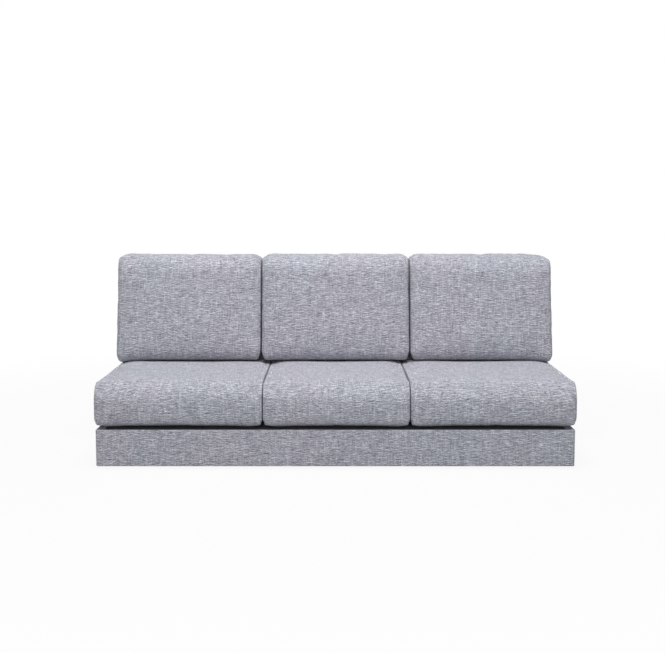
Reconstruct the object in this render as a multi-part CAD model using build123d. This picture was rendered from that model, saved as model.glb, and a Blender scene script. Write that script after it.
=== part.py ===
from build123d import *
from math import cos, pi, radians, sin, sqrt, tan
import os

# Three-seat armless sofa in heathered cloth. Millimetres, +Z up, front towards -Y.
# The origin is on the floor, under the middle of the sofa's outer box.

os.makedirs("parts", exist_ok=True)

# ---- Base and back, outer sizes ----
base_width = 2000
base_depth = 837
base_front_y = -442
base_height = 158
glide_height = 12
back_foot_thickness = 83
back_height = 590
inner_rake = 8.0
rear_rake = 5.3

# ---- Covers: cloth with its bonded wadding ----
cover_wall = 5
base_edge_round = 12
back_edge_round = 9
base_hem = 40
deck_border = 34
dust_cover_thickness = 2

# ---- Timber frame ----
rail_thickness = 24
end_post_thickness = 48
middle_post_thickness = 24
middle_post_x = 333
cross_rail_drop = 22
block_leg = 62
block_height = 96
block_lift = 20
top_rail_height = 24
lower_rail_height = 60
lower_rail_lift = 6
lower_rail_thickness = 22
batten_height = 44
batten_thickness = 22

# ---- Webbing and pads ----
strap_width = 62
strap_thickness = 2
seat_straps_per_bay = 3
lengthwise_straps = 4
back_straps_per_bay = 3
deck_pad_thickness = 9
back_pad_thickness = 12

# ---- Bolts that hold the posts, and the glides ----
bolt_diameter = 8
bolt_hole_clearance = 0.25
bolt_head_width = 13
bolt_head_height = 5.3
bolt_past_nut = 3
bolt_height_low = 34
bolt_spacing = 76
nut_height = 6.5
post_relief = 7
glide_diameter = 34
glide_side_inset = 21
glide_front_inset = 74
glide_rear_inset = 60

# ---- Seat cushions ----
seat_front_overhang = 8
seat_rear_gap = 12
seat_side_overhang = 8
seat_middle_width = 617
seat_middle_shift = 4.5
seat_thickness = 194
seat_crown = 10
seat_side_draw = 4
seat_front_top_round = 60
seat_front_low_round = 42
seat_front_side_round = 30
seat_rear_round = 28
seat_side_top_round = 25
seat_side_low_round = 38
seat_core_side_inset = 46
seat_core_end_inset = 62
seat_core_height_inset = 30

# ---- Back cushions ----
back_side_overhang = 22
back_middle_width = 698
back_middle_shift = 2
back_cushion_height = 493
back_cushion_foot_thickness = 190
back_cushion_top_thickness = 150
back_crown = 16
back_side_draw = 6
back_foot_round = 44
back_top_round_height = 80
back_top_front_round = 62
back_top_rear_round = 30
back_top_side_round = 27
back_front_corner_round = 38
back_rear_corner_round = 24
back_core_side_inset = 56
back_core_end_inset = 84
back_core_depth_inset = 34

# ---- Clearances ----
rest_gap = 0.3
lane_gap = 1.0
least_crown = 0.8
corner_share = 0.36
shown_round_steps = 4
hidden_round_steps = 2
middle_steps = 3

# ---- Zips of the cushion covers ----
zip_end_margin = 70
zip_groove_width = 16
zip_groove_depth = 9
zip_chain_width = 6
zip_chain_thickness = 2.4
zip_stop_length = 4
zip_stop_height = 1.4
slider_length = 13
slider_width = 10
slider_height = 5.6
slider_chamfer = 2
slider_gap = 0.3

# ---- Places worked out from the sizes above ----
half_base = base_width / 2
base_rear_y = base_front_y + base_depth
deck_z = glide_height + base_height
back_top_z = deck_z + back_height
back_foot_y = base_rear_y - back_foot_thickness
frame_half = half_base - cover_wall
frame_low_z = glide_height + cover_wall
frame_front_y = base_front_y + cover_wall
dust_cover_low_z = frame_low_z - dust_cover_thickness
deck_pad_top_z = deck_z - cover_wall
lengthwise_strap_z = deck_pad_top_z - deck_pad_thickness - strap_thickness
rail_top_z = lengthwise_strap_z - strap_thickness
pad_depth_in_back = cover_wall + back_pad_thickness
post_front_offset = pad_depth_in_back + strap_thickness
post_foot_y = back_foot_y + post_front_offset
post_rear_y = base_rear_y - cover_wall
rear_rail_front_y = post_foot_y - rail_thickness
frame_top_z = back_top_z - cover_wall
post_top_z = frame_top_z - top_rail_height
end_post_x = frame_half - end_post_thickness / 2
end_bolt_x = (frame_half - rail_thickness + frame_half - end_post_thickness) / 2
post_places = {
    "left_end": (-end_post_x, end_post_thickness),
    "left_middle": (-middle_post_x, middle_post_thickness),
    "right_middle": (middle_post_x, middle_post_thickness),
    "right_end": (end_post_x, end_post_thickness),
}
bolt_seat_y = post_rear_y - post_relief
cross_rail_x = middle_post_x - middle_post_thickness / 2 - rail_thickness / 2
seat_front_y = base_front_y - seat_front_overhang
seat_depth = back_foot_y - seat_rear_gap - seat_front_y
seat_row_width = base_width + 2 * seat_side_overhang
back_row_width = base_width + 2 * back_side_overhang
seat_low_z = deck_z + rest_gap
seat_top_z = seat_low_z + seat_thickness + seat_crown
back_cushion_low_z = seat_top_z + rest_gap
sides = {"left": -1, "middle": 0, "right": 1}


def inner_face_y(z):
    """Y of the back's front face at a height above the floor."""
    return back_foot_y + (z - deck_z) * tan(radians(inner_rake))


def rear_face_y(z):
    """Y of the sofa's rear face at a height above the floor."""
    return base_rear_y + max(0, z - deck_z) * tan(radians(rear_rake))


def block(x_range, y_range, z_range):
    """A box from its lowest to its highest corner."""
    size = [high - low for low, high in (x_range, y_range, z_range)]
    centre = [(low + high) / 2 for low, high in (x_range, y_range, z_range)]
    return Pos(*centre) * Box(*size)


def side_profile(points, x_low, x_high):
    """A prism along X from (y, z) points."""
    outline = Polyline([(0, y, z) for y, z in points], close=True)
    return Pos(x_low, 0, 0) * extrude(make_face(outline), x_high - x_low, dir=(1, 0, 0))


def raked_slab(front_offset, rear_offset, z_low, z_high, x_low, x_high):
    """A prism whose two faces run parallel to the back's front face."""
    points = [
        (inner_face_y(z_low) + front_offset, z_low),
        (inner_face_y(z_low) + rear_offset, z_low),
        (inner_face_y(z_high) + rear_offset, z_high),
        (inner_face_y(z_high) + front_offset, z_high),
    ]
    return side_profile(points, x_low, x_high)


def grouped(solids):
    """Separate solids of one kind, kept apart in one shape."""
    return Compound(children=list(solids))


# ---- Timber frame ----

def bay_spans():
    """The X ranges between neighbouring posts, left to right."""
    faces = [(x - width / 2, x + width / 2) for x, width in post_places.values()]
    return [(left[1], right[0]) for left, right in zip(faces, faces[1:])]


def bolt_places():
    """(x, z) of the two bolts of each end post."""
    heights = [frame_low_z + bolt_height_low + row * bolt_spacing for row in (0, 1)]
    return [(x, z) for x in (-end_bolt_x, end_bolt_x) for z in heights]


def rod(x, z, y_low, y_high, diameter):
    """A round bar along Y."""
    return Pos(x, y_low, z) * Rot(X=-90) * Cylinder(
        diameter / 2, y_high - y_low, align=(Align.CENTER, Align.CENTER, Align.MIN)
    )


def hexagon(x, z, y_low, y_high):
    """A six-sided bar along Y, as wide as the bolts' heads and nuts."""
    outline = RegularPolygon(bolt_head_width / 2, 6, major_radius=False)
    return Pos(x, y_low, z) * Rot(X=-90) * extrude(outline, y_high - y_low)


def bolt_hole(x, z):
    """The clearance hole of a post bolt, right through rail and post."""
    return rod(x, z, rear_rail_front_y, post_rear_y, bolt_diameter + 2 * bolt_hole_clearance)


def glide_places():
    """(x, y, top) of the glides: four under the hems, two on the dust cover under the cross rails."""
    end_x = half_base - glide_side_inset
    front_y = base_front_y + glide_front_inset
    rear_y = base_rear_y - glide_rear_inset
    ends = [(x, y, glide_height) for x in (-end_x, end_x) for y in (front_y, rear_y)]
    middle_y = (front_y + rear_y) / 2
    middles = [(x, middle_y, dust_cover_low_z) for x in (-cross_rail_x, cross_rail_x)]
    return ends + middles


def front_rail():
    """Front rail of the base, across the whole frame."""
    return block(
        (-frame_half, frame_half),
        (frame_front_y, frame_front_y + rail_thickness),
        (frame_low_z, rail_top_z),
    )


def rear_rail():
    """Rear rail of the base; the posts stand against its rear face."""
    rail = block(
        (-frame_half, frame_half), (rear_rail_front_y, post_foot_y), (frame_low_z, rail_top_z)
    )
    for x, z in bolt_places():
        rail -= bolt_hole(x, z)
    return rail


def end_rail(side):
    """Rail between front and rear rails; its top carries the lengthwise straps."""
    outer = side * frame_half
    inner = outer - side * rail_thickness
    return block(
        sorted((outer, inner)),
        (frame_front_y + rail_thickness, rear_rail_front_y),
        (frame_low_z, lengthwise_strap_z),
    )


def cross_rail(side):
    """Inner rail beside a middle post, low enough to clear the webbing."""
    centre = side * cross_rail_x
    return block(
        (centre - rail_thickness / 2, centre + rail_thickness / 2),
        (frame_front_y + rail_thickness, rear_rail_front_y),
        (frame_low_z, rail_top_z - cross_rail_drop),
    )


def corner_blocks():
    """Glued three-cornered blocks where the end and cross rails meet the front rail."""
    low_z = frame_low_z + block_lift
    y = frame_front_y + rail_thickness
    end_x = frame_half - rail_thickness
    outer_x = cross_rail_x + rail_thickness / 2
    inner_x = cross_rail_x - rail_thickness / 2
    blocks = []
    for side in (-1, 1):
        for x, toward in ((end_x, -1), (outer_x, 1), (inner_x, -1)):
            corner = [(side * x, y), (side * (x + toward * block_leg), y), (side * x, y + block_leg)]
            face = make_face(Polyline(corner, close=True))
            blocks.append(Pos(0, 0, low_z) * extrude(face, block_height, dir=(0, 0, 1)))
    return grouped(blocks)


def post(x, width):
    """Raked back post: upright behind the base, relieved for the bolt heads, tapering above."""
    points = [
        (post_foot_y, frame_low_z),
        (bolt_seat_y, frame_low_z),
        (bolt_seat_y, rail_top_z),
        (post_rear_y, deck_z),
        (rear_face_y(post_top_z) - cover_wall, post_top_z),
        (inner_face_y(post_top_z) + post_front_offset, post_top_z),
        (post_foot_y, deck_z),
    ]
    timber = side_profile(points, x - width / 2, x + width / 2)
    for bolt_x, z in bolt_places():
        timber -= bolt_hole(bolt_x, z)
    return timber


def top_rail():
    """Rail across the heads of the four posts."""
    points = [
        (inner_face_y(post_top_z) + post_front_offset, post_top_z),
        (rear_face_y(post_top_z) - cover_wall, post_top_z),
        (rear_face_y(frame_top_z) - cover_wall, frame_top_z),
        (inner_face_y(frame_top_z) + post_front_offset, frame_top_z),
    ]
    return side_profile(points, -frame_half, frame_half)


def lower_rails():
    """Short rails between the posts that hold the lower ends of the back straps."""
    low_z = deck_z + lower_rail_lift
    rear_offset = post_front_offset + lower_rail_thickness
    return grouped(
        raked_slab(post_front_offset, rear_offset, low_z, low_z + lower_rail_height, *span)
        for span in bay_spans()
    )


def rear_battens():
    """Battens between the posts that the rear cover is stapled to."""
    return grouped(
        block(
            span,
            (post_rear_y - batten_thickness, post_rear_y),
            (frame_low_z, frame_low_z + batten_height),
        )
        for span in bay_spans()
    )


def post_bolts():
    """Hexagon-headed bolts through the end posts and the rear rail."""
    end_y = rear_rail_front_y - nut_height - bolt_past_nut
    return grouped(
        rod(x, z, end_y, bolt_seat_y, bolt_diameter)
        + hexagon(x, z, bolt_seat_y, bolt_seat_y + bolt_head_height)
        for x, z in bolt_places()
    )


def post_nuts():
    """Nuts on the bolts, against the front of the rear rail."""
    nut_y = rear_rail_front_y - nut_height
    return grouped(
        hexagon(x, z, nut_y, rear_rail_front_y)
        - rod(x, z, nut_y, rear_rail_front_y, bolt_diameter)
        for x, z in bolt_places()
    )


# ---- Webbing and pads ----

def evenly(low, high, count, width):
    """Ranges of a given width, evenly spaced between two limits."""
    gap = (high - low - count * width) / (count + 1)
    starts = [low + gap + index * (width + gap) for index in range(count)]
    return [(start, start + width) for start in starts]


def seat_cross_straps():
    """Straps from the front rail to the rear rail, some in each bay."""
    return grouped(
        block(x_range, (frame_front_y, post_foot_y), (rail_top_z, lengthwise_strap_z))
        for span in bay_spans()
        for x_range in evenly(*span, seat_straps_per_bay, strap_width)
    )


def seat_long_straps():
    """Straps from end rail to end rail, over the others."""
    y_ranges = evenly(
        frame_front_y + rail_thickness, rear_rail_front_y, lengthwise_straps, strap_width
    )
    top_z = lengthwise_strap_z + strap_thickness
    return grouped(
        block((-frame_half, frame_half), y_range, (lengthwise_strap_z, top_z))
        for y_range in y_ranges
    )


def deck_pad():
    """Thin pad between the webbing and the deck cloth."""
    return block(
        (-frame_half, frame_half),
        (frame_front_y, post_foot_y),
        (deck_pad_top_z - deck_pad_thickness, deck_pad_top_z),
    )


def back_straps():
    """Upright straps from the lower rails to the top rail, on the posts' front line."""
    low_z = deck_z + lower_rail_lift
    return grouped(
        raked_slab(pad_depth_in_back, post_front_offset, low_z, frame_top_z, *x_range)
        for span in bay_spans()
        for x_range in evenly(*span, back_straps_per_bay, strap_width)
    )


def back_pad():
    """Pad of the back, between the straps and the inner cover."""
    return raked_slab(cover_wall, pad_depth_in_back, deck_z, frame_top_z, -frame_half, frame_half)


# ---- Covers of the base and back ----

def base_envelope():
    """The covered base as one solid: soft rim ahead of the back, plain top under it."""
    x_range = (-half_base, half_base)
    z_range = (glide_height, deck_z)
    ahead = block(x_range, (base_front_y, back_foot_y), z_range)
    front_corners = ahead.edges().filter_by(Axis.Z).sort_by(Axis.Y)[:2]
    top = ahead.faces().sort_by(Axis.Z)[-1].edges()
    rim = top.filter_by(Axis.Y) + top.filter_by(Axis.X).sort_by(Axis.Y)[:1]
    under_back = block(x_range, (back_foot_y, base_rear_y), z_range)
    rear_corners = under_back.edges().filter_by(Axis.Z).sort_by(Axis.Y)[2:]
    return fillet(front_corners + rim, base_edge_round) + fillet(rear_corners, base_edge_round)


def base_skin():
    """The base's cloth skin, open at the deck and the underside."""
    inside = block(
        (-frame_half, frame_half), (frame_front_y, post_rear_y), (frame_low_z, deck_pad_top_z)
    )
    deck_opening = block(
        (-half_base + deck_border, half_base - deck_border),
        (base_front_y + deck_border, post_foot_y),
        (deck_pad_top_z, deck_z),
    )
    post_opening = block(
        (-frame_half, frame_half), (post_foot_y, post_rear_y), (deck_pad_top_z, deck_z)
    )
    under_opening = block(
        (-half_base + base_hem, half_base - base_hem),
        (base_front_y + base_hem, rear_rail_front_y),
        (glide_height, frame_low_z),
    )
    return base_envelope() - inside - deck_opening - post_opening - under_opening


def rear_region():
    """The rear wall of the base and the hem behind the rear rail's front face."""
    wall = block((-half_base, half_base), (post_rear_y, base_rear_y), (glide_height, deck_z))
    hem = block(
        (-half_base, half_base), (rear_rail_front_y, base_rear_y), (glide_height, frame_low_z)
    )
    return wall + hem


def mitre_prism():
    """The wedge in front of the two mitres at the base's front corners."""
    reach = max(base_hem, deck_border)
    outline = Polyline(
        [
            (-half_base, base_front_y),
            (half_base, base_front_y),
            (half_base - reach, base_front_y + reach),
            (-half_base + reach, base_front_y + reach),
        ],
        close=True,
    )
    return extrude(make_face(outline), deck_z, dir=(0, 0, 1))


def base_front_cover():
    """Front panel of the base, mitred into the side panels."""
    return base_skin() & mitre_prism()


def base_side_cover(side):
    """Side panel of the base, from the front mitre to the rear cover."""
    half_space = block(sorted((0, side * half_base)), (base_front_y, base_rear_y), (0, deck_z))
    return (base_skin() - mitre_prism() - rear_region()) & half_space


def deck_cloth():
    """Deck cloth inside the covers' borders, back to the posts."""
    return block(
        (-half_base + deck_border, half_base - deck_border),
        (base_front_y + deck_border, post_foot_y),
        (deck_pad_top_z, deck_z),
    )


def dust_cover():
    """Thin cloth that closes the underside between the hems."""
    return block(
        (-half_base + base_hem, half_base - base_hem),
        (base_front_y + base_hem, rear_rail_front_y),
        (dust_cover_low_z, frame_low_z),
    )


def back_envelope():
    """The covered back above the deck as one solid, with its softened edges."""
    points = [
        (back_foot_y, deck_z),
        (base_rear_y, deck_z),
        (rear_face_y(back_top_z), back_top_z),
        (inner_face_y(back_top_z), back_top_z),
    ]
    body = side_profile(points, -half_base, half_base)
    low = body.faces().sort_by(Axis.Z)[0].edges()
    kept = [edge for edge in body.edges() if edge not in low]
    return fillet(kept, back_edge_round)


def back_shell():
    """The back's cloth skin above the deck."""
    points = [
        (back_foot_y + cover_wall, deck_z),
        (post_rear_y, deck_z),
        (rear_face_y(frame_top_z) - cover_wall, frame_top_z),
        (inner_face_y(frame_top_z) + cover_wall, frame_top_z),
    ]
    return back_envelope() - side_profile(points, -frame_half, frame_half)


def behind_front_line(front_offset):
    """Everything behind a plane parallel to the back's front face."""
    reach = 2 * back_foot_thickness
    return raked_slab(front_offset, reach, deck_z, back_top_z, -half_base, half_base)


def ahead_of_rear_line(x_low, x_high):
    """Everything ahead of the plane that the rear cover's inner side lies in."""
    points = [
        (back_foot_y, deck_z),
        (post_rear_y, deck_z),
        (rear_face_y(back_top_z) - cover_wall, back_top_z),
        (back_foot_y, back_top_z),
    ]
    return side_profile(points, x_low, x_high)


def back_inner_cover():
    """Front panel of the back, behind the back cushions."""
    return back_shell() - behind_front_line(cover_wall)


def back_rear_cover():
    """Rear panel in one piece from the back's top down and under the base."""
    upper = back_shell() - ahead_of_rear_line(-half_base, half_base)
    return upper + (base_skin() & rear_region())


def back_middle_skin():
    """The band of the back's skin between its front and rear panels."""
    band = back_shell() & behind_front_line(cover_wall)
    return band & ahead_of_rear_line(-half_base, half_base)


def back_top_cover():
    """Top band of the back, between its two side bands."""
    reach = rear_face_y(back_top_z)
    return back_middle_skin() & block(
        (-frame_half, frame_half), (back_foot_y, reach), (frame_top_z, back_top_z)
    )


def back_side_cover(side):
    """Side band of the back, above the base's side panel."""
    reach = rear_face_y(back_top_z)
    outer = block(
        sorted((side * half_base, side * frame_half)), (back_foot_y, reach), (deck_z, back_top_z)
    )
    return back_middle_skin() & outer


# ---- Glides ----

def glides():
    """Round nail-on glides under the rails."""
    upright = (Align.CENTER, Align.CENTER, Align.MIN)
    return grouped(
        Pos(x, y, 0) * Cylinder(glide_diameter / 2, top_z, align=upright)
        for x, y, top_z in glide_places()
    )


# ---- Cushions ----

def quarter(distance, run, drop):
    """How far an elliptical edge lies below full size, at a distance from the end."""
    if distance >= run:
        return 0.0
    return drop * (1 - sqrt(1 - (1 - distance / run) ** 2))


def stations(length, first_run, first_steps, last_run, last_steps):
    """Section places along a cushion: close together where its ends round off."""

    def round_off(run, steps):
        return [run * (1 - cos(pi / 2 * step / steps)) for step in range(steps + 1)]

    first = round_off(first_run, first_steps)
    last = [length - place for place in reversed(round_off(last_run, last_steps))]
    span = last[0] - first[-1]
    middle = [first[-1] + span * step / middle_steps for step in range(1, middle_steps)]
    return first + middle + last


def section(place, half, low, high, high_bulge, low_round, high_round):
    """A closed outline: flat low face and sides, crowned high face, four rounded corners."""
    thickness = high - low
    low_round = min(low_round, corner_share * thickness)
    high_round = min(high_round, corner_share * thickness)

    def line(start, end):
        return Edge.make_line(place(*start), place(*end))

    def arc(start, through, end):
        return Edge.make_three_point_arc(place(*start), place(*through), place(*end))

    def corner(u, v, radius, start_angle):
        turns = [start_angle + share * pi / 2 for share in (0, 1 / 2, 1)]
        return arc(*((u + radius * cos(turn), v + radius * sin(turn)) for turn in turns))

    return Wire([
        line((-half + low_round, low), (half - low_round, low)),
        corner(half - low_round, low + low_round, low_round, -pi / 2),
        line((half, low + low_round), (half, high - high_round)),
        corner(half - high_round, high - high_round, high_round, 0),
        arc((half - high_round, high), (0, high + high_bulge), (-half + high_round, high)),
        corner(-half + high_round, high - high_round, high_round, pi / 2),
        line((-half, high - high_round), (-half, low + low_round)),
        corner(-half + low_round, low + low_round, low_round, pi),
    ])


def swell(share):
    """Crown along a cushion: full over most of its length, little at its two ends."""
    return 1 - (2 * share - 1) ** 4


def lane(side, row_width, middle_width, middle_shift):
    """X of a cushion's middle and its half width, with the gaps to its neighbours."""
    if side == 0:
        return middle_shift, (middle_width - lane_gap) / 2
    inner = (middle_width + lane_gap) / 2 + side * middle_shift
    outer = row_width / 2
    return side * (inner + outer) / 2, (outer - inner) / 2


def seat_lane(side):
    """Lane of a seat cushion."""
    return lane(side, seat_row_width, seat_middle_width, seat_middle_shift)


def back_lane(side):
    """Lane of a back cushion."""
    return lane(side, back_row_width, back_middle_width, back_middle_shift)


def seat_cushion_form(side):
    """Crowned seat cushion: waterfall front, rounded under-edge, drawn-in sides."""
    centre_x, half_width = seat_lane(side)
    places = stations(
        seat_depth, seat_front_top_round, shown_round_steps, seat_rear_round, hidden_round_steps
    )
    wires = []
    for s in places:
        from_rear = seat_depth - s
        rear_drop = quarter(from_rear, seat_rear_round, seat_rear_round)
        front_top = quarter(s, seat_front_top_round, seat_front_top_round)
        front_low = quarter(s, seat_front_low_round, seat_front_low_round)
        front_side = quarter(s, seat_front_side_round, seat_front_side_round)
        share = s / seat_depth
        wires.append(section(
            lambda u, v, y=seat_front_y + s: Vector(centre_x + u, y, v),
            half_width - front_side - rear_drop - seat_side_draw * sin(pi * share),
            seat_low_z + front_low + rear_drop,
            seat_low_z + seat_thickness - front_top - rear_drop,
            least_crown + (seat_crown - least_crown) * swell(share),
            seat_side_low_round,
            seat_side_top_round,
        ))
    return Solid.make_loft(wires, ruled=True)


def back_cushion_form(side):
    """Crowned back cushion, leaning with the back and thinner towards its top."""
    centre_x, half_width = back_lane(side)
    taper = back_cushion_foot_thickness - back_cushion_top_thickness
    places = stations(
        back_cushion_height,
        back_foot_round, hidden_round_steps, back_top_round_height, shown_round_steps,
    )
    wires = []
    for s in places:
        z = back_cushion_low_z + s
        from_top = back_cushion_height - s
        foot_drop = quarter(s, back_foot_round, back_foot_round)
        top_front = quarter(from_top, back_top_round_height, back_top_front_round)
        top_rear = quarter(from_top, back_top_rear_round, back_top_rear_round)
        top_side = quarter(from_top, back_top_side_round, back_top_side_round)
        share = s / back_cushion_height
        rear_y = inner_face_y(z) - rest_gap
        thickness = back_cushion_foot_thickness - taper * share
        wires.append(section(
            lambda u, v, y=rear_y, h=z: Vector(centre_x + u, y - v, h),
            half_width - foot_drop - top_side - back_side_draw * sin(pi * share),
            foot_drop + top_rear,
            thickness - back_crown - foot_drop - top_front,
            least_crown + (back_crown - least_crown) * swell(share),
            back_rear_corner_round,
            back_front_corner_round,
        ))
    return Solid.make_loft(wires, ruled=True)


def seat_core(side):
    """Foam block of a seat cushion."""
    centre_x, half_width = seat_lane(side)
    half = half_width - seat_core_side_inset
    low_z = seat_low_z + seat_core_height_inset
    high_z = seat_low_z + seat_thickness - seat_core_height_inset
    return block(
        (centre_x - half, centre_x + half),
        (seat_front_y + seat_core_end_inset, seat_front_y + seat_depth - seat_core_end_inset),
        (low_z, high_z),
    )


def back_core(side):
    """Fill block of a back cushion, leaning with it."""
    centre_x, half_width = back_lane(side)
    half = half_width - back_core_side_inset
    low_z = back_cushion_low_z + back_core_end_inset
    high_z = back_cushion_low_z + back_cushion_height - back_core_end_inset
    front_offset = back_crown + back_core_depth_inset - back_cushion_top_thickness
    return raked_slab(
        front_offset, -back_core_depth_inset, low_z, high_z, centre_x - half, centre_x + half
    )


# ---- Zips ----
# Each zip is drawn along X with its groove's mouth at z = 0 and its depth towards -z,
# then turned to the rear face of a seat cushion or the foot of a back cushion.

def zip_length(half_width):
    """Length of a zip's chain in a cushion of this half width."""
    return 2 * (half_width - zip_end_margin)


def zip_groove(half_width):
    """Space that the cover leaves for its zip."""
    half = zip_length(half_width) / 2 + zip_stop_length
    return block(
        (-half, half), (-zip_groove_width / 2, zip_groove_width / 2), (-zip_groove_depth, 0)
    )


def zip_chain(half_width):
    """Closed chain with a raised stop at each end, on the groove's floor."""
    half = zip_length(half_width) / 2
    width = zip_chain_width / 2
    top_z = zip_chain_thickness - zip_groove_depth
    chain = block((-half, half), (-width, width), (-zip_groove_depth, top_z))
    for end in (-1, 1):
        x_range = sorted((end * half, end * (half - zip_stop_length)))
        chain += block(x_range, (-width, width), (-zip_groove_depth, top_z + zip_stop_height))
    return chain


def zip_slider(half_width):
    """Slider that straddles the chain, at rest beside the stop at its left end."""
    start_x = -zip_length(half_width) / 2 + zip_stop_length + slider_gap
    low_z = slider_gap - zip_groove_depth
    body = block(
        (start_x, start_x + slider_length),
        (-slider_width / 2, slider_width / 2),
        (low_z, low_z + slider_height),
    )
    channel_half = zip_chain_width / 2 + slider_gap
    channel = block(
        (start_x, start_x + slider_length),
        (-channel_half, channel_half),
        (low_z, zip_chain_thickness + slider_gap - zip_groove_depth),
    )
    return chamfer(body.edges().filter_by(Axis.Z), slider_chamfer) - channel


def seat_zip_place(side):
    """From a zip's own frame to the rear face of a seat cushion."""
    centre_x, _ = seat_lane(side)
    middle_z = seat_low_z + seat_thickness / 2
    return Pos(centre_x, seat_front_y + seat_depth, middle_z) * Rot(X=-90)


def back_zip_place(side):
    """From a zip's own frame to the foot of a back cushion."""
    centre_x, _ = back_lane(side)
    rear_y = inner_face_y(back_cushion_low_z) - rest_gap
    middle_y = rear_y - (back_cushion_foot_thickness - back_crown) / 2
    return Pos(centre_x, middle_y, back_cushion_low_z) * Rot(X=180)


def cushion_nodes(name, side, own_lane, form, core, place):
    """Cover, fill, zip chain and zip slider of one cushion."""
    _, half_width = own_lane(side)
    groove = place(side) * zip_groove(half_width)
    return {
        f"{name}_cover": form(side) - core(side) - groove,
        f"{name}_fill": core(side),
        f"{name}_zip_chain": place(side) * zip_chain(half_width),
        f"{name}_zip_slider": place(side) * zip_slider(half_width),
    }


# ---- All nodes ----

def base_nodes():
    """Timber, webbing, pads, covers and glides of the base."""
    return {
        "base_front_rail": front_rail(),
        "base_rear_rail": rear_rail(),
        "base_left_rail": end_rail(-1),
        "base_right_rail": end_rail(1),
        "base_left_cross_rail": cross_rail(-1),
        "base_right_cross_rail": cross_rail(1),
        "base_corner_blocks": corner_blocks(),
        "base_rear_battens": rear_battens(),
        "seat_cross_straps": seat_cross_straps(),
        "seat_long_straps": seat_long_straps(),
        "deck_pad": deck_pad(),
        "deck_cloth": deck_cloth(),
        "base_front_cover": base_front_cover(),
        "base_left_cover": base_side_cover(-1),
        "base_right_cover": base_side_cover(1),
        "dust_cover": dust_cover(),
        "glides": glides(),
    }


def back_nodes():
    """Posts, rails, straps, pad and covers of the back."""
    posts = {f"{name}_post": post(*place) for name, place in post_places.items()}
    return {
        **posts,
        "back_top_rail": top_rail(),
        "back_lower_rails": lower_rails(),
        "post_bolts": post_bolts(),
        "post_nuts": post_nuts(),
        "back_straps": back_straps(),
        "back_pad": back_pad(),
        "back_inner_cover": back_inner_cover(),
        "back_rear_cover": back_rear_cover(),
        "back_top_cover": back_top_cover(),
        "back_left_cover": back_side_cover(-1),
        "back_right_cover": back_side_cover(1),
    }


def all_nodes():
    """Every node of the sofa by name."""
    nodes = {**base_nodes(), **back_nodes()}
    for name, side in sides.items():
        nodes.update(cushion_nodes(
            f"seat_{name}_cushion", side, seat_lane, seat_cushion_form, seat_core, seat_zip_place
        ))
        nodes.update(cushion_nodes(
            f"back_{name}_cushion", side, back_lane, back_cushion_form, back_core, back_zip_place
        ))
    return nodes


for node, shape in all_nodes().items():
    export_step(shape, f"parts/{node}.step")
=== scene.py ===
"""Armless three-seat sofa in heathered grey cloth: the looks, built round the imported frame.

Lengths are in metres, +Z is up and the front faces -Y. Every piece rides on a body of the frame.
"""

import logging
from collections.abc import Callable, Sequence
from dataclasses import dataclass, field
from enum import Enum
from math import cos, pi, radians, sin, tan
from typing import ClassVar

import bmesh
import bpy
import numpy as np
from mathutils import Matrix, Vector, noise


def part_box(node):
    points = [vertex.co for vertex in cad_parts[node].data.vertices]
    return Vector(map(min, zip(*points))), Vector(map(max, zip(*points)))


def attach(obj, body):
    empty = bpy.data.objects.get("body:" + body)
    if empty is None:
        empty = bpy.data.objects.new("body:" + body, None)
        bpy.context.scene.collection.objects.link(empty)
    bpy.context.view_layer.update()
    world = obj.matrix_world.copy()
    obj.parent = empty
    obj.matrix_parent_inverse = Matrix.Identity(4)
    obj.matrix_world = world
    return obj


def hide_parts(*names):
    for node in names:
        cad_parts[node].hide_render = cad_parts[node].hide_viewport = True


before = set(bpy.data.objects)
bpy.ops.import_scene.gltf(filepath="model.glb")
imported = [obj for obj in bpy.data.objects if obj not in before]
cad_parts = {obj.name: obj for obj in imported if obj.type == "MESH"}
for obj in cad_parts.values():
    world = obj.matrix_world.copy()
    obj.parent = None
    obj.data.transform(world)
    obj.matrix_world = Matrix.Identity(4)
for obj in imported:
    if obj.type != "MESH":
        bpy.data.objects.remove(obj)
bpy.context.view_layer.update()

LOG = logging.getLogger("sofa")
CLOTH_MAP = "cloth"
MM = 0.001
SIDES = ("left", "middle", "right")

Pair = tuple[float, float]
Triple = tuple[float, float, float]
Colour = Triple
WHITE: Colour = (1.0, 1.0, 1.0)


# ---------------------------------------------------------------- node trees

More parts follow.
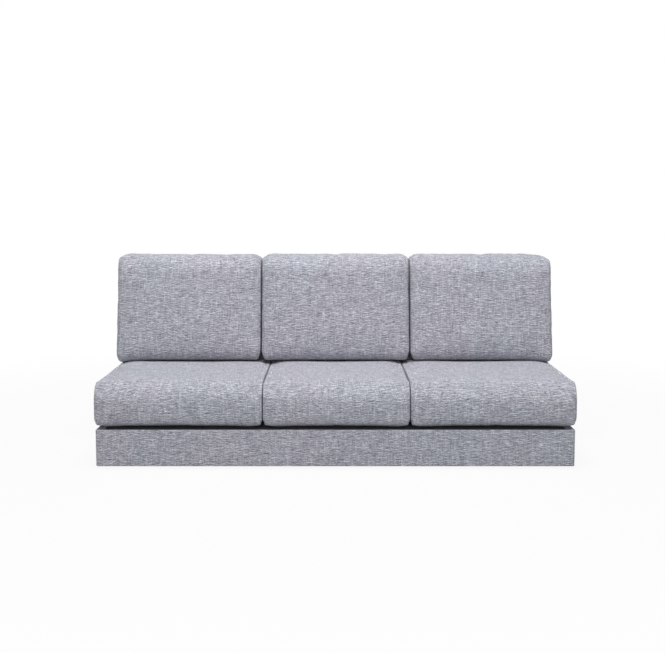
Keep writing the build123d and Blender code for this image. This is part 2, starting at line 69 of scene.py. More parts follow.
class Sock:
    """A value in a node tree: an output socket, with Python's operators adding Math nodes."""

    def __init__(self, nodes: "Nodes", out: bpy.types.NodeSocket) -> None:
        """Wraps an output socket of a tree."""
        self.nodes = nodes
        self.out = out

    def math(self, operation: str, first: object, second: object = None) -> "Sock":
        """Adds one Math node."""
        inputs = {0: first} if second is None else {0: first, 1: second}
        return self.nodes.node("ShaderNodeMath", {"operation": operation}, inputs)

    def __add__(self, other: object) -> "Sock":
        """Sum."""
        return self.math("ADD", self, other)

    __radd__ = __add__

    def __sub__(self, other: object) -> "Sock":
        """Difference."""
        return self.math("SUBTRACT", self, other)

    def __rsub__(self, other: object) -> "Sock":
        """Difference with the value on the right."""
        return self.math("SUBTRACT", other, self)

    def __mul__(self, other: object) -> "Sock":
        """Product."""
        return self.math("MULTIPLY", self, other)

    __rmul__ = __mul__

    def __truediv__(self, other: object) -> "Sock":
        """Quotient."""
        return self.math("DIVIDE", self, other)

    def __rtruediv__(self, other: object) -> "Sock":
        """Quotient with the value on the right."""
        return self.math("DIVIDE", other, self)

    def __pow__(self, other: object) -> "Sock":
        """Power."""
        return self.math("POWER", self, other)

    def __mod__(self, other: object) -> "Sock":
        """Remainder."""
        return self.math("FLOORED_MODULO", self, other)

    def floor(self) -> "Sock":
        """Whole part."""
        return self.math("FLOOR", self)

    def sine(self) -> "Sock":
        """Sine of an angle in radians."""
        return self.math("SINE", self)

    def absolute(self) -> "Sock":
        """Size without its sign."""
        return self.math("ABSOLUTE", self)

    def above(self, limit: float) -> "Sock":
        """1 where the value is over a limit."""
        return self.math("GREATER_THAN", self, limit)

    def larger(self, other: object) -> "Sock":
        """The larger of two values."""
        return self.math("MAXIMUM", self, other)

    def clamped(self) -> "Sock":
        """The value kept between 0 and 1."""
        return self.math("MINIMUM", self.larger(0.0), 1.0)

    def ease(self, low: float, high: float, start: float = 0.0, end: float = 1.0) -> "Sock":
        """Moves smoothly from one value to another between two limits.

        Args:
            low: Where it starts to change.
            high: Where it stops changing.
            start: Its value up to low.
            end: Its value from high on.

        Returns:
            The eased value.
        """
        settings = {"interpolation_type": "SMOOTHSTEP"}
        limits = {"From Min": low, "From Max": high, "To Min": start, "To Max": end}
        return self.nodes.node("ShaderNodeMapRange", settings, {"Value": self, **limits})

    def beside(self, output: object) -> "Sock":
        """Another output of the same node."""
        return Sock(self.nodes, self.out.node.outputs[output])


class Nodes:
    """A node tree of any kind, filled through one method."""

    def __init__(self, tree: bpy.types.NodeTree) -> None:
        """Takes over a tree and empties it."""
        self.tree = tree
        tree.nodes.clear()

    def node(self, kind: str, settings: dict[str, object], inputs: dict[object, object],
             output: object = 0) -> Sock:
        """Adds a node.

        Args:
            kind: The node's type.
            settings: Its settings, set first; a ramp's stops are under "stops".
            inputs: Values or links by socket name or place.
            output: Name or place of the output that is wanted.

        Returns:
            That output.
        """
        made = self.tree.nodes.new(kind)
        for key, value in settings.items():
            if key == "stops":
                self._set_stops(made.color_ramp, value)
            else:
                setattr(made, key, value)
        for key, value in inputs.items():
            self.feed(made.inputs[key], value)
        return Sock(self, made.outputs[output])

    def feed(self, socket: bpy.types.NodeSocket, value: object) -> None:
        """Links or sets one input.

        Args:
            socket: The input.
            value: A link, or a value; a colour gets its alpha.
        """
        if isinstance(value, Sock):
            self.tree.links.new(value.out, socket)
        elif socket.type == "RGBA":
            socket.default_value = (*value, 1.0)
        else:
            socket.default_value = value

    @staticmethod
    def _set_stops(ramp: bpy.types.ColorRamp, stops: Sequence[tuple[float, Colour]]) -> None:
        """Gives a colour ramp its stops.

        Args:
            ramp: The ramp, with its first stops.
            stops: Place and colour of each stop that it should have.
        """
        while len(ramp.elements) < len(stops):
            ramp.elements.new(1.0)
        for element, (place, colour) in zip(ramp.elements, stops):
            element.position = place
            element.color = (*colour, 1.0)

    def end(self, kind: str, value: Sock) -> None:
        """Ends the tree with an output node that takes a value."""
        self.feed(self.tree.nodes.new(kind).inputs[0], value)

    def vector(self, x: object, y: object, z: object = 0.0) -> Sock:
        """A vector from three values."""
        return self.node("ShaderNodeCombineXYZ", {}, {0: x, 1: y, 2: z})

    def seen(self) -> Sock:
        """1 where a ray comes from the camera or from a glossy surface."""
        camera = self.node("ShaderNodeLightPath", {}, {}, "Is Camera Ray")
        return camera.larger(camera.beside("Is Glossy Ray"))


class Shader(Nodes):
    """One material's node tree, round a surface shader."""

    def __init__(self, name: str) -> None:
        """Makes the material with its surface shader and output.

        Args:
            name: The material's name.
        """
        self.material = bpy.data.materials.new(name)
        self.material.use_nodes = True
        super().__init__(self.material.node_tree)
        surface = self.node("ShaderNodeBsdfPrincipled", {}, {}, "BSDF")
        self.end("ShaderNodeOutputMaterial", surface)
        self.sockets = surface.out.node.inputs

    def parts(self, vector: Sock) -> tuple[Sock, Sock, Sock]:
        """The three values of a vector."""
        split = self.node("ShaderNodeSeparateXYZ", {}, {0: vector})
        return tuple(split.beside(axis) for axis in range(3))

    def object_place(self) -> Sock:
        """Place on the object, in metres."""
        return self.node("ShaderNodeTexCoord", {}, {}, "Object")

    def cloth_place(self) -> Sock:
        """Place on the cut cloth, in metres: across and along."""
        return self.node("ShaderNodeUVMap", {"uv_map": CLOTH_MAP}, {})

    def noise(self, vector: Sock, scale: float, detail: float = 2.0, rough: float = 0.5) -> Sock:
        """Smooth noise about 0.5."""
        inputs = {"Vector": vector, "Scale": scale, "Detail": detail, "Roughness": rough}
        return self.node("ShaderNodeTexNoise", {"noise_dimensions": "3D"}, inputs)

    def ramp(self, value: Sock, stops: Sequence[tuple[float, Colour]]) -> Sock:
        """Colour of a value along a ramp of stops."""
        return self.node("ShaderNodeValToRGB", {"stops": stops}, {0: value})

    def mix(self, factor: object, first: object, second: object, blend: str = "MIX") -> Sock:
        """Blend of two colours."""
        settings = {"data_type": "RGBA", "blend_type": blend}
        return self.node("ShaderNodeMix", settings, {0: factor, 6: first, 7: second}, 2)

    def shaded(self, colour: Sock, tone: Sock) -> Sock:
        """A colour darkened by a grey tone."""
        grey = self.node("ShaderNodeCombineColor", {}, {0: tone, 1: tone, 2: tone})
        return self.mix(1.0, colour, grey, "MULTIPLY")

    def bump(self, height: Sock, distance: float, strength: float = 1.0) -> None:
        """Gives the surface a relief of a height in metres."""
        inputs = {"Strength": strength, "Distance": distance, "Height": height}
        self.feed(self.sockets["Normal"], self.node("ShaderNodeBump", {}, inputs))

    def surface(self, values: dict[str, object]) -> bpy.types.Material:
        """Sets or links the surface's own sockets.

        Args:
            values: Values or links by socket name.

        Returns:
            The finished material.
        """
        for name, value in values.items():
            self.feed(self.sockets[name], value)
        return self.material


# ---------------------------------------------------------------- finishes

@dataclass(frozen=True)
class HeatheredTweed:
    """Woven upholstery cloth: slubby weft dashes over a finer warp, in greys with faint tints."""

    name: str = "heathered tweed"
    weft_pitch: float = 2.6 * MM
    warp_pitch: float = 3.2 * MM
    sway_scale: float = 42.0
    weft_sway: float = 1.6 * MM
    warp_sway: float = 1.2 * MM
    fleck_length: float = 30 * MM
    warp_fleck: float = 60 * MM
    weft_shift: float = 7.31
    warp_shift: float = 5.17
    row_contrast: float = 0.60
    weft_cover: float = 0.70
    weft_over: float = 0.16
    painted_groove_shade: float = 0.78
    painted_crown_light: float = 0.34
    patch_scale: float = 2.6
    fuzz_scale: float = 2600.0
    dark: Colour = (0.040, 0.040, 0.054)
    middle: Colour = (0.366, 0.364, 0.414)
    light: Colour = (0.890, 0.886, 0.930)
    cool_tint: Colour = (0.978, 1.003, 1.000)
    warm_tint: Colour = (1.008, 0.998, 1.003)
    relief: float = 0.55 * MM

    def _weft_tone(self, shader: Shader, u: Sock, row: Sock) -> Sock:
        """Tone of the weft: long flecks that differ from one thread to the next.

        Args:
            shader: The cloth's shader.
            u: Place across the cloth.
            row: Number of the weft thread.

        Returns:
            The tone.
        """
        along = u / self.fleck_length
        seed = row * self.weft_shift
        own, last = (
            shader.noise(shader.vector(along, place), 1.0, 3.0, 0.85)
            for place in (seed, seed - self.weft_shift)
        )
        return own * (1 + self.row_contrast) - last * self.row_contrast

    def build(self) -> bpy.types.Material:
        """Makes the material from the cloth's own place map.

        Returns:
            The finished material.
        """
        shader = Shader(self.name)
        u, v, _ = shader.parts(shader.cloth_place())
        sway = shader.noise(shader.vector(u, v), self.sway_scale) - 0.5
        weft = (v + sway * self.weft_sway) / self.weft_pitch
        warp = (u + sway * self.warp_sway) / self.warp_pitch
        weft_row, warp_row = weft.floor(), warp.floor()
        weft_relief, warp_relief = (
            ((thread - row) * pi).sine() for thread, row in ((weft, weft_row), (warp, warp_row))
        )
        stops = ((0.26, self.dark), (0.47, self.middle), (0.53, self.middle), (0.74, self.light))
        weft_colour = shader.ramp(self._weft_tone(shader, u, weft_row), stops)
        lines = shader.vector(warp_row * self.warp_shift, v / self.warp_fleck)
        warp_colour = shader.ramp(shader.noise(lines, 1.0, 1.0, 0.4), stops)

        weft_share = (weft_row + warp_row) % 2.0 * self.weft_over + self.weft_cover
        relief = weft_share * weft_relief + (1 - weft_share) * warp_relief
        yarn = shader.mix(weft_share, warp_colour, weft_colour)
        # Painted shade and light: the yarn colour is darkened in the grooves between threads and
        # lightened on their crowns, following the relief.
        yarn = shader.shaded(yarn, relief * self.painted_crown_light + self.painted_groove_shade)
        patch = shader.noise(shader.object_place(), self.patch_scale, 3.0).ease(0.40, 0.62)
        tint = shader.mix(patch, self.warm_tint, self.cool_tint)
        fuzz = shader.noise(shader.vector(u, v), self.fuzz_scale, 1.0)
        shader.bump(relief + fuzz * 0.25, self.relief, 0.55)
        return shader.surface({
            "Base Color": shader.mix(1.0, yarn, tint, "MULTIPLY"), "Roughness": 0.92,
            "Sheen Weight": 0.18, "Sheen Roughness": 0.45, "Specular IOR Level": 0.18,
        })


@dataclass(frozen=True)
class PlainWeave:
    """Thin woven or bonded cloth of one colour: lining, dust cover, webbing or zip tape."""

    name: str
    thread: Colour
    # The second colour is painted shade in the gaps between threads, mixed with darker slub tone.
    gap_shade_and_slub: Colour
    pitch: float = 1.2 * MM
    relief: float = 0.25 * MM
    across: int = 0
    along: int = 1
    stripe: float = 0.0
    slub_scale: float = 420.0

    def build(self) -> bpy.types.Material:
        """Makes the material on the piece's own coordinates.

        Returns:
            The finished material.
        """
        shader = Shader(self.name)
        place = shader.parts(shader.object_place())
        first, second = place[self.across] / self.pitch, place[self.along] / self.pitch
        rows, picks = ((thread * pi).sine().absolute() for thread in (first, second))
        parity = (first.floor() + second.floor()) % 2.0
        relief = parity * rows + (1 - parity) * picks
        slub = shader.noise(shader.object_place(), self.slub_scale, 3.0)
        # Painted shade: the colour runs from the second colour in the gaps between threads to the
        # thread colour on their crowns, following the relief, with real slub tone mixed in.
        tone = (relief * 0.55 + slub * 0.6).clamped()
        if self.stripe:
            band = (place[self.across] / self.stripe * 2 * pi).sine().above(0.55)
            tone = (tone - band * 0.35).clamped()
        shader.bump(relief + slub * 0.4, self.relief, 0.6)
        return shader.surface({
            "Base Color": shader.mix(tone, self.gap_shade_and_slub, self.thread), "Roughness": 0.9,
            "Sheen Weight": 0.1, "Specular IOR Level": 0.2,
        })


@dataclass(frozen=True)
class Wadding:
    """Open foam or fibre: cells or tangled strands in a pale colour, with painted shade in their
    hollows.
    """

    name: str
    pale: Colour
    # The deep colour is painted shade in the hollows of cells and between strands.
    deep: Colour
    cell: float = 3 * MM
    strand_scale: float = 260.0
    relief: float = 1.2 * MM

    def build(self) -> bpy.types.Material:
        """Makes the material from cells and fine noise.

        Returns:
            The finished material.
        """
        shader = Shader(self.name)
        place = shader.object_place()
        inputs = {"Vector": place, "Scale": 1.0 / self.cell}
        cells = shader.node("ShaderNodeTexVoronoi", {"feature": "F1"}, inputs, "Distance")
        strands = shader.noise(place, self.strand_scale, 4.0, 0.7)
        # Painted shade: the colour is darker where the relief is low, in the cell hollows and
        # between strands.
        tone = (cells * 0.7 + strands * 0.5).clamped()
        shader.bump(tone, self.relief, 0.7)
        return shader.surface({
            "Base Color": shader.mix(tone, self.deep, self.pale), "Roughness": 0.95,
            "Specular IOR Level": 0.2,
        })


class Grain(Enum):
    """Which way a timber's grain runs: its length, breadth and thickness as axes."""

    ALONG_X = (0, 1, 2)
    ALONG_Y = (1, 2, 0)
    ALONG_Z = (2, 0, 1)


@dataclass(frozen=True)
class PlanedPine:
    """Planed softwood with growth rings and fine streaks."""

    grain: Grain
    early: Colour = (0.640, 0.450, 0.255)
    late: Colour = (0.420, 0.245, 0.110)
    rings_across: float = 190.0
    rings_deep: float = 60.0
    ring_sway: float = 14.0
    relief: float = 0.15 * MM

    def build(self) -> bpy.types.Material:
        """Makes the material with its rings drawn out along the grain.

        Returns:
            The finished material.
        """
        shader = Shader(f"planed pine {self.grain.name.lower()}")
        place = shader.parts(shader.object_place())
        length, across, deep = (place[index] for index in self.grain.value)
        stretched = shader.vector(length * 1.4, across * 22.0, deep * 22.0)
        sway = shader.noise(stretched, 1.3, 3.0)
        turns = across * self.rings_across + deep * self.rings_deep + sway * self.ring_sway
        rings = (turns.sine() * 0.5 + 0.5) ** 1.6
        pores = shader.noise(shader.vector(length * 60.0, across * 900.0, deep * 900.0), 1.0)
        colour = shader.mix(rings, self.early, self.late)
        shader.bump(pores * 0.4 + rings * 0.3, self.relief, 0.5)
        return shader.surface({
            "Base Color": shader.shaded(colour, (pores * 0.30 + 0.85).clamped()),
            "Roughness": (rings * -0.12 + 0.62).clamped(),
        })


@dataclass(frozen=True)
class PlatedMetal:
    """Zinc or nickel plate with a fine brushed or crystalline break-up."""

    name: str
    bright: Colour
    dull: Colour
    rough: float = 0.34
    relief: float = 0.03 * MM

    def build(self) -> bpy.types.Material:
        """Makes the metal with blotches and scratches.

        Returns:
            The finished material.
        """
        shader = Shader(self.name)
        place = shader.object_place()
        blotch = shader.noise(place, 240.0, 3.0, 0.6)
        x, y, z = shader.parts(place)
        scratch = shader.noise(shader.vector(x * 300.0, y * 2600.0, z * 2600.0), 1.0)
        shader.bump(scratch, self.relief, 0.4)
        return shader.surface({
            "Base Color": shader.mix(blotch.ease(0.35, 0.65), self.dull, self.bright),
            "Roughness": (blotch * 0.22 + scratch * 0.12 + (self.rough - 0.16)).clamped(),
            "Metallic": 1.0,
        })


@dataclass(frozen=True)
class MouldedPlastic:
    """Moulded plastic with a fine spark-eroded grain and scuffs."""

    name: str
    colour: Colour
    scuff: Colour
    rough: float = 0.5
    relief: float = 0.05 * MM

    def build(self) -> bpy.types.Material:
        """Makes the plastic with grain and scuffs.

        Returns:
            The finished material.
        """
        shader = Shader(self.name)
        place = shader.object_place()
        grain = shader.noise(place, 1500.0)
        worn = shader.noise(place, 90.0, 5.0, 0.65).ease(0.55, 0.75)
        shader.bump(grain, self.relief, 0.5)
        return shader.surface({
            "Base Color": shader.mix(worn, self.colour, self.scuff),
            "Roughness": (worn * 0.2 + grain * 0.1 + (self.rough - 0.05)).clamped(),
        })


class Finishes:
    """Every finish of the sofa, made once."""

    def __init__(self) -> None:
        """Builds all materials."""
        # The second colour of each plain weave and of each wadding is painted shade: in the gaps
        # between threads, and in the hollows of cells and strands.
        strap = dict(thread=(0.46, 0.36, 0.22), gap_shade_and_slub=(0.20, 0.14, 0.08), pitch=2.2 * MM,
                     relief=0.5 * MM, stripe=20 * MM)
        grey_lining = PlainWeave("deck lining", (0.135, 0.135, 0.150), (0.045, 0.045, 0.052))
        black, dust_gap_shade = (0.040, 0.040, 0.042), (0.014, 0.014, 0.015)
        black_cloth = PlainWeave("dust cloth", black, dust_gap_shade, 2.4 * MM)
        layer = Wadding("bonded wadding", (0.86, 0.86, 0.83), (0.60, 0.60, 0.57), 5 * MM)
        foam = Wadding("open foam", (0.82, 0.77, 0.55), (0.58, 0.50, 0.28))
        fibre = Wadding("fibre fill", (0.88, 0.88, 0.86), (0.66, 0.66, 0.64), 8 * MM)
        zinc = PlatedMetal("zinc plate", (0.72, 0.72, 0.68), (0.50, 0.50, 0.47))
        nickel = PlatedMetal("dark nickel", (0.36, 0.36, 0.38), (0.22, 0.22, 0.24), 0.28)
        nylon = MouldedPlastic("nylon coil", (0.110, 0.110, 0.125), (0.19, 0.19, 0.21))
        glide = MouldedPlastic("glide plastic", (0.022, 0.022, 0.023), (0.10, 0.10, 0.10))

        self.tweed = HeatheredTweed().build()
        self.lining = grey_lining.build()
        self.dust_cloth = black_cloth.build()
        self.strap_along_y = PlainWeave("cross webbing", across=0, along=1, **strap).build()
        self.strap_along_x = PlainWeave("lengthwise webbing", across=1, along=0, **strap).build()
        self.strap_along_z = PlainWeave("back webbing", across=0, along=2, **strap).build()
        self.wadding, self.foam, self.fibre = layer.build(), foam.build(), fibre.build()
        self.pine = {grain: PlanedPine(grain).build() for grain in Grain}
        self.zinc, self.nickel = zinc.build(), nickel.build()
        self.nylon, self.glide = nylon.build(), glide.build()


# ---------------------------------------------------------------- mesh helpers

@dataclass
class Patchwork:
    """Quads gathered from grids, welded where the grids share points, with cloth places."""

    points: list[Triple] = field(default_factory=list)
    faces: list[tuple[int, ...]] = field(default_factory=list)
    places: list[tuple[Pair, ...]] = field(default_factory=list)
    found: dict[tuple[int, int, int], int] = field(default_factory=dict)
    weld: float = 1e-6

    def point(self, place: Sequence[float]) -> int:
        """Index of a point, shared with one already there.

        Args:
            place: The point in metres.

        Returns:
            Its index.
        """
        key = tuple(int(round(value / self.weld)) for value in place)
        if key not in self.found:
            self.found[key] = len(self.points)
            self.points.append(tuple(float(value) for value in place))
        return self.found[key]

    def grid(self, points: np.ndarray, cloth: np.ndarray) -> None:
        """Adds a grid of quads.

        Args:
            points: Rows by columns by 3 places.
            cloth: Rows by columns by 2 places on the cut cloth.
        """
        rows, columns = points.shape[:2]
        index = [[self.point(points[r, c]) for c in range(columns)] for r in range(rows)]
        for r in range(rows - 1):
            for c in range(columns - 1):
                ring = ((r, c), (r + 1, c), (r + 1, c + 1), (r, c + 1))
                corners = [index[a][b] for a, b in ring]
                if len(set(corners)) < 3:
                    continue
                kept = [n for n, corner in enumerate(corners) if corner not in corners[:n]]
                self.faces.append(tuple(corners[n] for n in kept))
                self.places.append(tuple(tuple(cloth[ring[n]]) for n in kept))

    def object(self, name: str, material: bpy.types.Material) -> bpy.types.Object:
        """The gathered faces as a smooth object with a cloth map.

        Args:
            name: The piece's name.
            material: Its finish.

        Returns:
            The new object, at the origin.
        """
        mesh = bpy.data.meshes.new(name)
        mesh.from_pydata(self.points, [], self.faces)
        layer = mesh.uv_layers.new(name=CLOTH_MAP)
        flat = [value for face in self.places for place in face for value in place]
        layer.data.foreach_set("uv", flat)
        mesh.polygons.foreach_set("use_smooth", [True] * len(mesh.polygons))
        mesh.materials.append(material)
        return in_scene(name, mesh)


def in_scene(name: str, data: bpy.types.ID | None) -> bpy.types.Object:
    """Puts a new object with its data into the scene.

    Args:
        name: The object's name.
        data: Its mesh, lamp or camera.

    Returns:
        The object.
    """
    made = bpy.data.objects.new(name, data)
    bpy.context.scene.collection.objects.link(made)
    return made


def face_outwards(piece: bpy.types.Object) -> None:
    """Turns a closed mesh's faces outwards, keeping its cloth map.

    Args:
        piece: The piece, whose mesh is changed.
    """
    work = bmesh.new()
    work.from_mesh(piece.data)
    bmesh.ops.recalc_face_normals(work, faces=work.faces)
    work.to_mesh(piece.data)
    work.free()


def settled(piece: bpy.types.Object) -> bpy.types.Object:
    """Applies a piece's modifiers, so that its mesh is final.

    Args:
        piece: The piece with its modifiers.

    Returns:
        The same piece.
    """
    graph = bpy.context.evaluated_depsgraph_get()
    mesh = bpy.data.meshes.new_from_object(piece.evaluated_get(graph), depsgraph=graph)
    piece.modifiers.clear()
    old = piece.data
    piece.data = mesh
    bpy.data.meshes.remove(old)
    mesh.name = piece.name
    return piece


def smoothed(piece: bpy.types.Object, levels: int = 1) -> bpy.types.Object:
    """Subdivides a piece.

    Args:
        piece: The piece.
        levels: How often each face is divided.

    Returns:
        The same piece, with its final mesh.
    """
    modifier = piece.modifiers.new("smooth", "SUBSURF")
    modifier.levels = modifier.render_levels = levels
    modifier.uv_smooth = "PRESERVE_BOUNDARIES"
    return settled(piece)


def thickened(piece: bpy.types.Object, thickness: float) -> bpy.types.Object:
    """Gives a cloth its thickness behind its outer face.

    Args:
        piece: The open cloth, with its outer face outwards.
        thickness: The cloth's thickness in metres.

    Returns:
        The same piece, with its final mesh.
    """
    modifier = piece.modifiers.new("wall", "SOLIDIFY")
    modifier.thickness = thickness
    modifier.offset = -1.0
    modifier.use_even_offset = True
    modifier.thickness_clamp = 1.0
    return settled(piece)


def lumps(place: Sequence[float], size: float, seed: float) -> float:
    """Slow unevenness between about -1 and 1."""
    return noise.noise(Vector(place) / size + Vector((seed, seed * 1.7, -seed)))


def waves(x: np.ndarray, y: np.ndarray, fineness: float, layer: float) -> np.ndarray:
    """Slow waves of a laid cloth, between about -1 and 1.

    Args:
        x: Places across.
        y: Places along.
        fineness: Waves in a metre.
        layer: Picks the pattern.

    Returns:
        The wave at each place.
    """
    spots = zip(x.ravel(), y.ravel())
    heights = [noise.noise(Vector((a * fineness, b * fineness, layer))) for a, b in spots]
    return np.array(heights).reshape(x.shape)


def ease(value: np.ndarray | float, low: float, high: float) -> np.ndarray | float:
    """Smooth step from 0 at low to 1 at high."""
    share = np.clip((value - low) / (high - low), 0.0, 1.0)
    return share * share * (3 - 2 * share)


def nearing(value: np.ndarray, edge: float, reach: Pair) -> np.ndarray:
    """Smooth step from 0 to 1 as a value comes near an edge, between two distances from it."""
    return ease(value, edge - reach[0], edge - reach[1])


def seam_dip(distance: np.ndarray | float, depth: float, width: float) -> np.ndarray | float:
    """How far cloth dips near its seam, with a slight swell beside it.

    Args:
        distance: Distance from the seam.
        depth: Depth of the dip at the seam.
        width: Its half width.

    Returns:
        The dip, below 0 in the swell.
    """
    near = np.exp(-(distance / width) ** 2)
    beside = np.exp(-((distance - 3.2 * width) / (1.6 * width)) ** 2)
    return depth * near - 0.28 * depth * beside


def spread(low: float, high: float, step: float, fine: Sequence[float] = ()) -> np.ndarray:
    """Even stations between two ends, with finer ones at set distances from both ends.

    Args:
        low: First station.
        high: Last station.
        step: Usual spacing.
        fine: Distances from each end that get a station of their own.

    Returns:
        The stations in order.
    """
    inner_low, inner_high = low + max([0.0, *fine]), high - max([0.0, *fine])
    count = max(1, int(round((inner_high - inner_low) / step)))
    middle = np.linspace(inner_low, inner_high, count + 1)
    near = [place for distance in fine for place in (low + distance, high - distance)]
    return np.unique(np.round([*middle, *near, low, high], 7))


def distance_along(points: np.ndarray) -> np.ndarray:
    """Distance of each point of a line from its first."""
    return np.concatenate([[0.0], np.cumsum(np.linalg.norm(np.diff(points, axis=0), axis=1))])


def handed_over(piece: bpy.types.Object, body: str, node: str | None = None) -> None:
    """Gives a finished piece to its body.

    Args:
        piece: The piece.
        body: The body that it rides on.
        node: The node that it shows instead of, if any.
    """
    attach(piece, body)
    if node:
        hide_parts(node)
    LOG.info("%s: %d faces", piece.name, len(piece.data.polygons))


# ---------------------------------------------------------------- cushions

@dataclass
class CushionCut:
    """Sizes of one cushion, in its own frame.

    The outline lies in a plane of a and b. Side A is the crowned face at high b, side B is at
    low a, side C is at low b and side D, which has the zip, is at high a. x runs across.
    """

    length: float
    depth: float
    crown: float
    corners: tuple[Pair, ...]
    end_insets: tuple[float, float, float, float]
    end_rounds: tuple[float, float, float, float]
    side_draw: float
    front_swell: float
    front_lift: float
    crown_power: float
    taper: float = 0.0
    grid_step: float = 12 * MM
    corner_steps: int = 4
    end_steps: int = 6


@dataclass
class Cushion:
    """A loose cushion: one wrap-round panel, two gussets, plain seams and a zip."""

    name: str
    half_width: float
    centre: float
    cut: CushionCut
    to_world: Callable[[np.ndarray], np.ndarray]
    to_cushion: Callable[[np.ndarray], np.ndarray]
    zip_half: float
    seed: float
    stands: bool
    sim_share: float
    outward: Pair
    end_sags: Pair
    top_drops: Pair
    fuller_ends: tuple[Pair, Pair]
    zip_width: float = 15 * MM
    zip_depth: float = 9 * MM
    zip_run_out: float = 12 * MM
    zip_hold: float = 6 * MM
    zip_lip: Pair = (1.2 * MM, -1.0 * MM)
    zip_edge: Pair = (12 * MM, 4 * MM)
    zip_lines: Triple = (-1.6 * MM, 0.0, 1.2 * MM)
    crown_rise: Pair = (0.55, 0.98)
    nose_reach: float = 60 * MM
    draw_reach: float = 90 * MM
    under_reach: float = 70 * MM
    lift_reach: Pair = (20 * MM, 190 * MM)
    steady_ends: Pair = (40 * MM, 8 * MM)
    steady_share: float = 0.7
    sag_rows: Pair = (0.72, 0.97)
    drop_rows: Pair = (0.0, 0.45)
    drop_sides: Pair = (0.55, 1.0)
    lump_sizes: Triple = (0.19, 0.23, 0.21)
    calm_rear: Pair = (40 * MM, 8 * MM)
    calm_foot: Pair = (2 * MM, 40 * MM)
    calm_ends: Pair = (26 * MM, 2 * MM)
    sim_cap: float = 4 * MM
    sim_frames: int = 20
    form_rounds: int = 60
    least_round: float = 5 * MM
    gusset_swell: float = 2 * MM
    seam_depth: float = 2.2 * MM
    seam_width: float = 2.0 * MM
    gather_length: float = 21 * MM
    gather_reach: float = 26 * MM
    gather_height: float = 1.3 * MM
    rest_gap: float = 0.3 * MM
    unevenness: Triple = (2.2 * MM, 3.0 * MM, 2.4 * MM)

    def __post_init__(self) -> None:
        """Works out the loop's counts."""
        cut = self.cut
        self.count_a = max(4, int(round(cut.length / cut.grid_step)))
        self.count_b = max(4, 2 * int(round(cut.depth / cut.grid_step / 2)))
        self.segments_a = self.count_a + 2 * cut.corner_steps
        self.segments_b = self.count_b + 2 * cut.corner_steps
        self.loop_count = 2 * (self.segments_a + self.segments_b)

    def _loop(self, shrink: float, fuller: Pair = (1.0, 1.0)) -> np.ndarray:
        """The outline drawn in towards its middle by a share of the end insets.

        Args:
            shrink: 0 for the full outline, 1 for the outline at the cushion's end.
            fuller: How much rounder this end is on sides A and B.

        Returns:
            The a and b of each point, in two rows.
        """
        cut = self.cut
        in_a, in_b, in_c, in_d = (
            inset * shrink * more for inset, more in zip(cut.end_insets, (*fuller, 1.0, 1.0))
        )
        low, high = np.array([in_b, in_c]), np.array([cut.length - in_d, cut.depth - in_a])
        ends = np.array([[0, 1], [0, 0], [1, 0], [1, 1]])
        insets = np.array([(in_b, in_a), (in_b, in_c), (in_d, in_c), (in_d, in_a)])
        radii = np.maximum(np.array(cut.corners) - insets, self.least_round)
        centres = np.where(ends, high - radii, low + radii)
        quarter = pi / 4

        def arc(index: int, part: int) -> list[np.ndarray]:
            """Half of a corner.

            Args:
                index: The corner.
                part: 0 leads up to its middle, and 1 on from there.

            Returns:
                The points of its arc.
            """
            turns = np.linspace(part * quarter, (part + 1) * quarter, cut.corner_steps + 1)
            turns += (index % 4 + 1) * pi / 2
            return [centres[index] + radii[index] * (cos(t), sin(t)) for t in turns]

        path: list[np.ndarray] = []
        for index, count in enumerate((self.count_a, self.count_b) * 2):
            out, into = arc(index - 1, 1), arc(index, 0)
            straight = [out[-1] + (into[0] - out[-1]) * n / count for n in range(1, count)]
            path += out + straight + into[:-1]
        return np.array(path).T

    def _rounds(self, fuller: Pair) -> np.ndarray:
        """How far across each point of the outline starts to round off: a mix of its sides'.

        Args:
            fuller: How much rounder this end is on sides A and B.

        Returns:
            The distance from the cushion's end, for each point.
        """
        outline = self._loop(0.0)
        tangent = np.roll(outline, -1, axis=1) - np.roll(outline, 1, axis=1)
        tangent_a, tangent_b = tangent / np.hypot(*tangent)
        out_a, out_b = -tangent_b, tangent_a
        round_a, round_b, round_c, round_d = self.cut.end_rounds
        upright = np.where(out_b > 0, round_a * fuller[0], round_c) * out_b ** 2
        level = np.where(out_a > 0, round_d, round_b * fuller[1]) * out_a ** 2
        return upright + level

    def _shape(self) -> tuple[np.ndarray, np.ndarray]:
        """Works out the outlines across the cushion.

        Returns:
            Their places, stations by points by x, a, b, and each station's cloth distance across.
        """
        cut = self.cut
        ends = [self._rounds(fuller) for fuller in self.fuller_ends]
        turn = np.linspace(pi / 2, 0, cut.end_steps + 1)
        count = int(round(2 * (self.half_width - ends[0].mean()) / cut.grid_step))
        middle = np.linspace(-1, 1, count + 1)[1:-1]
        rows, cloth = [], []
        for side, angles in ((-1, turn), (0, middle), (1, turn[::-1])):
            for value in angles:
                end = int((side or value) > 0)
                rounds, fuller = ends[end], self.fuller_ends[end]
                shrink = 1 - cos(value) if side else 0.0
                edge = self.half_width - rounds
                x = side * (edge + rounds * sin(value)) if side else value * edge
                spent = self.half_width - rounds.mean()
                cloth.append(side * (spent + rounds.mean() * value) if side else value * spent)
                rows.append(self._outline(x, shrink, fuller))
        return np.array(rows), np.array(cloth)

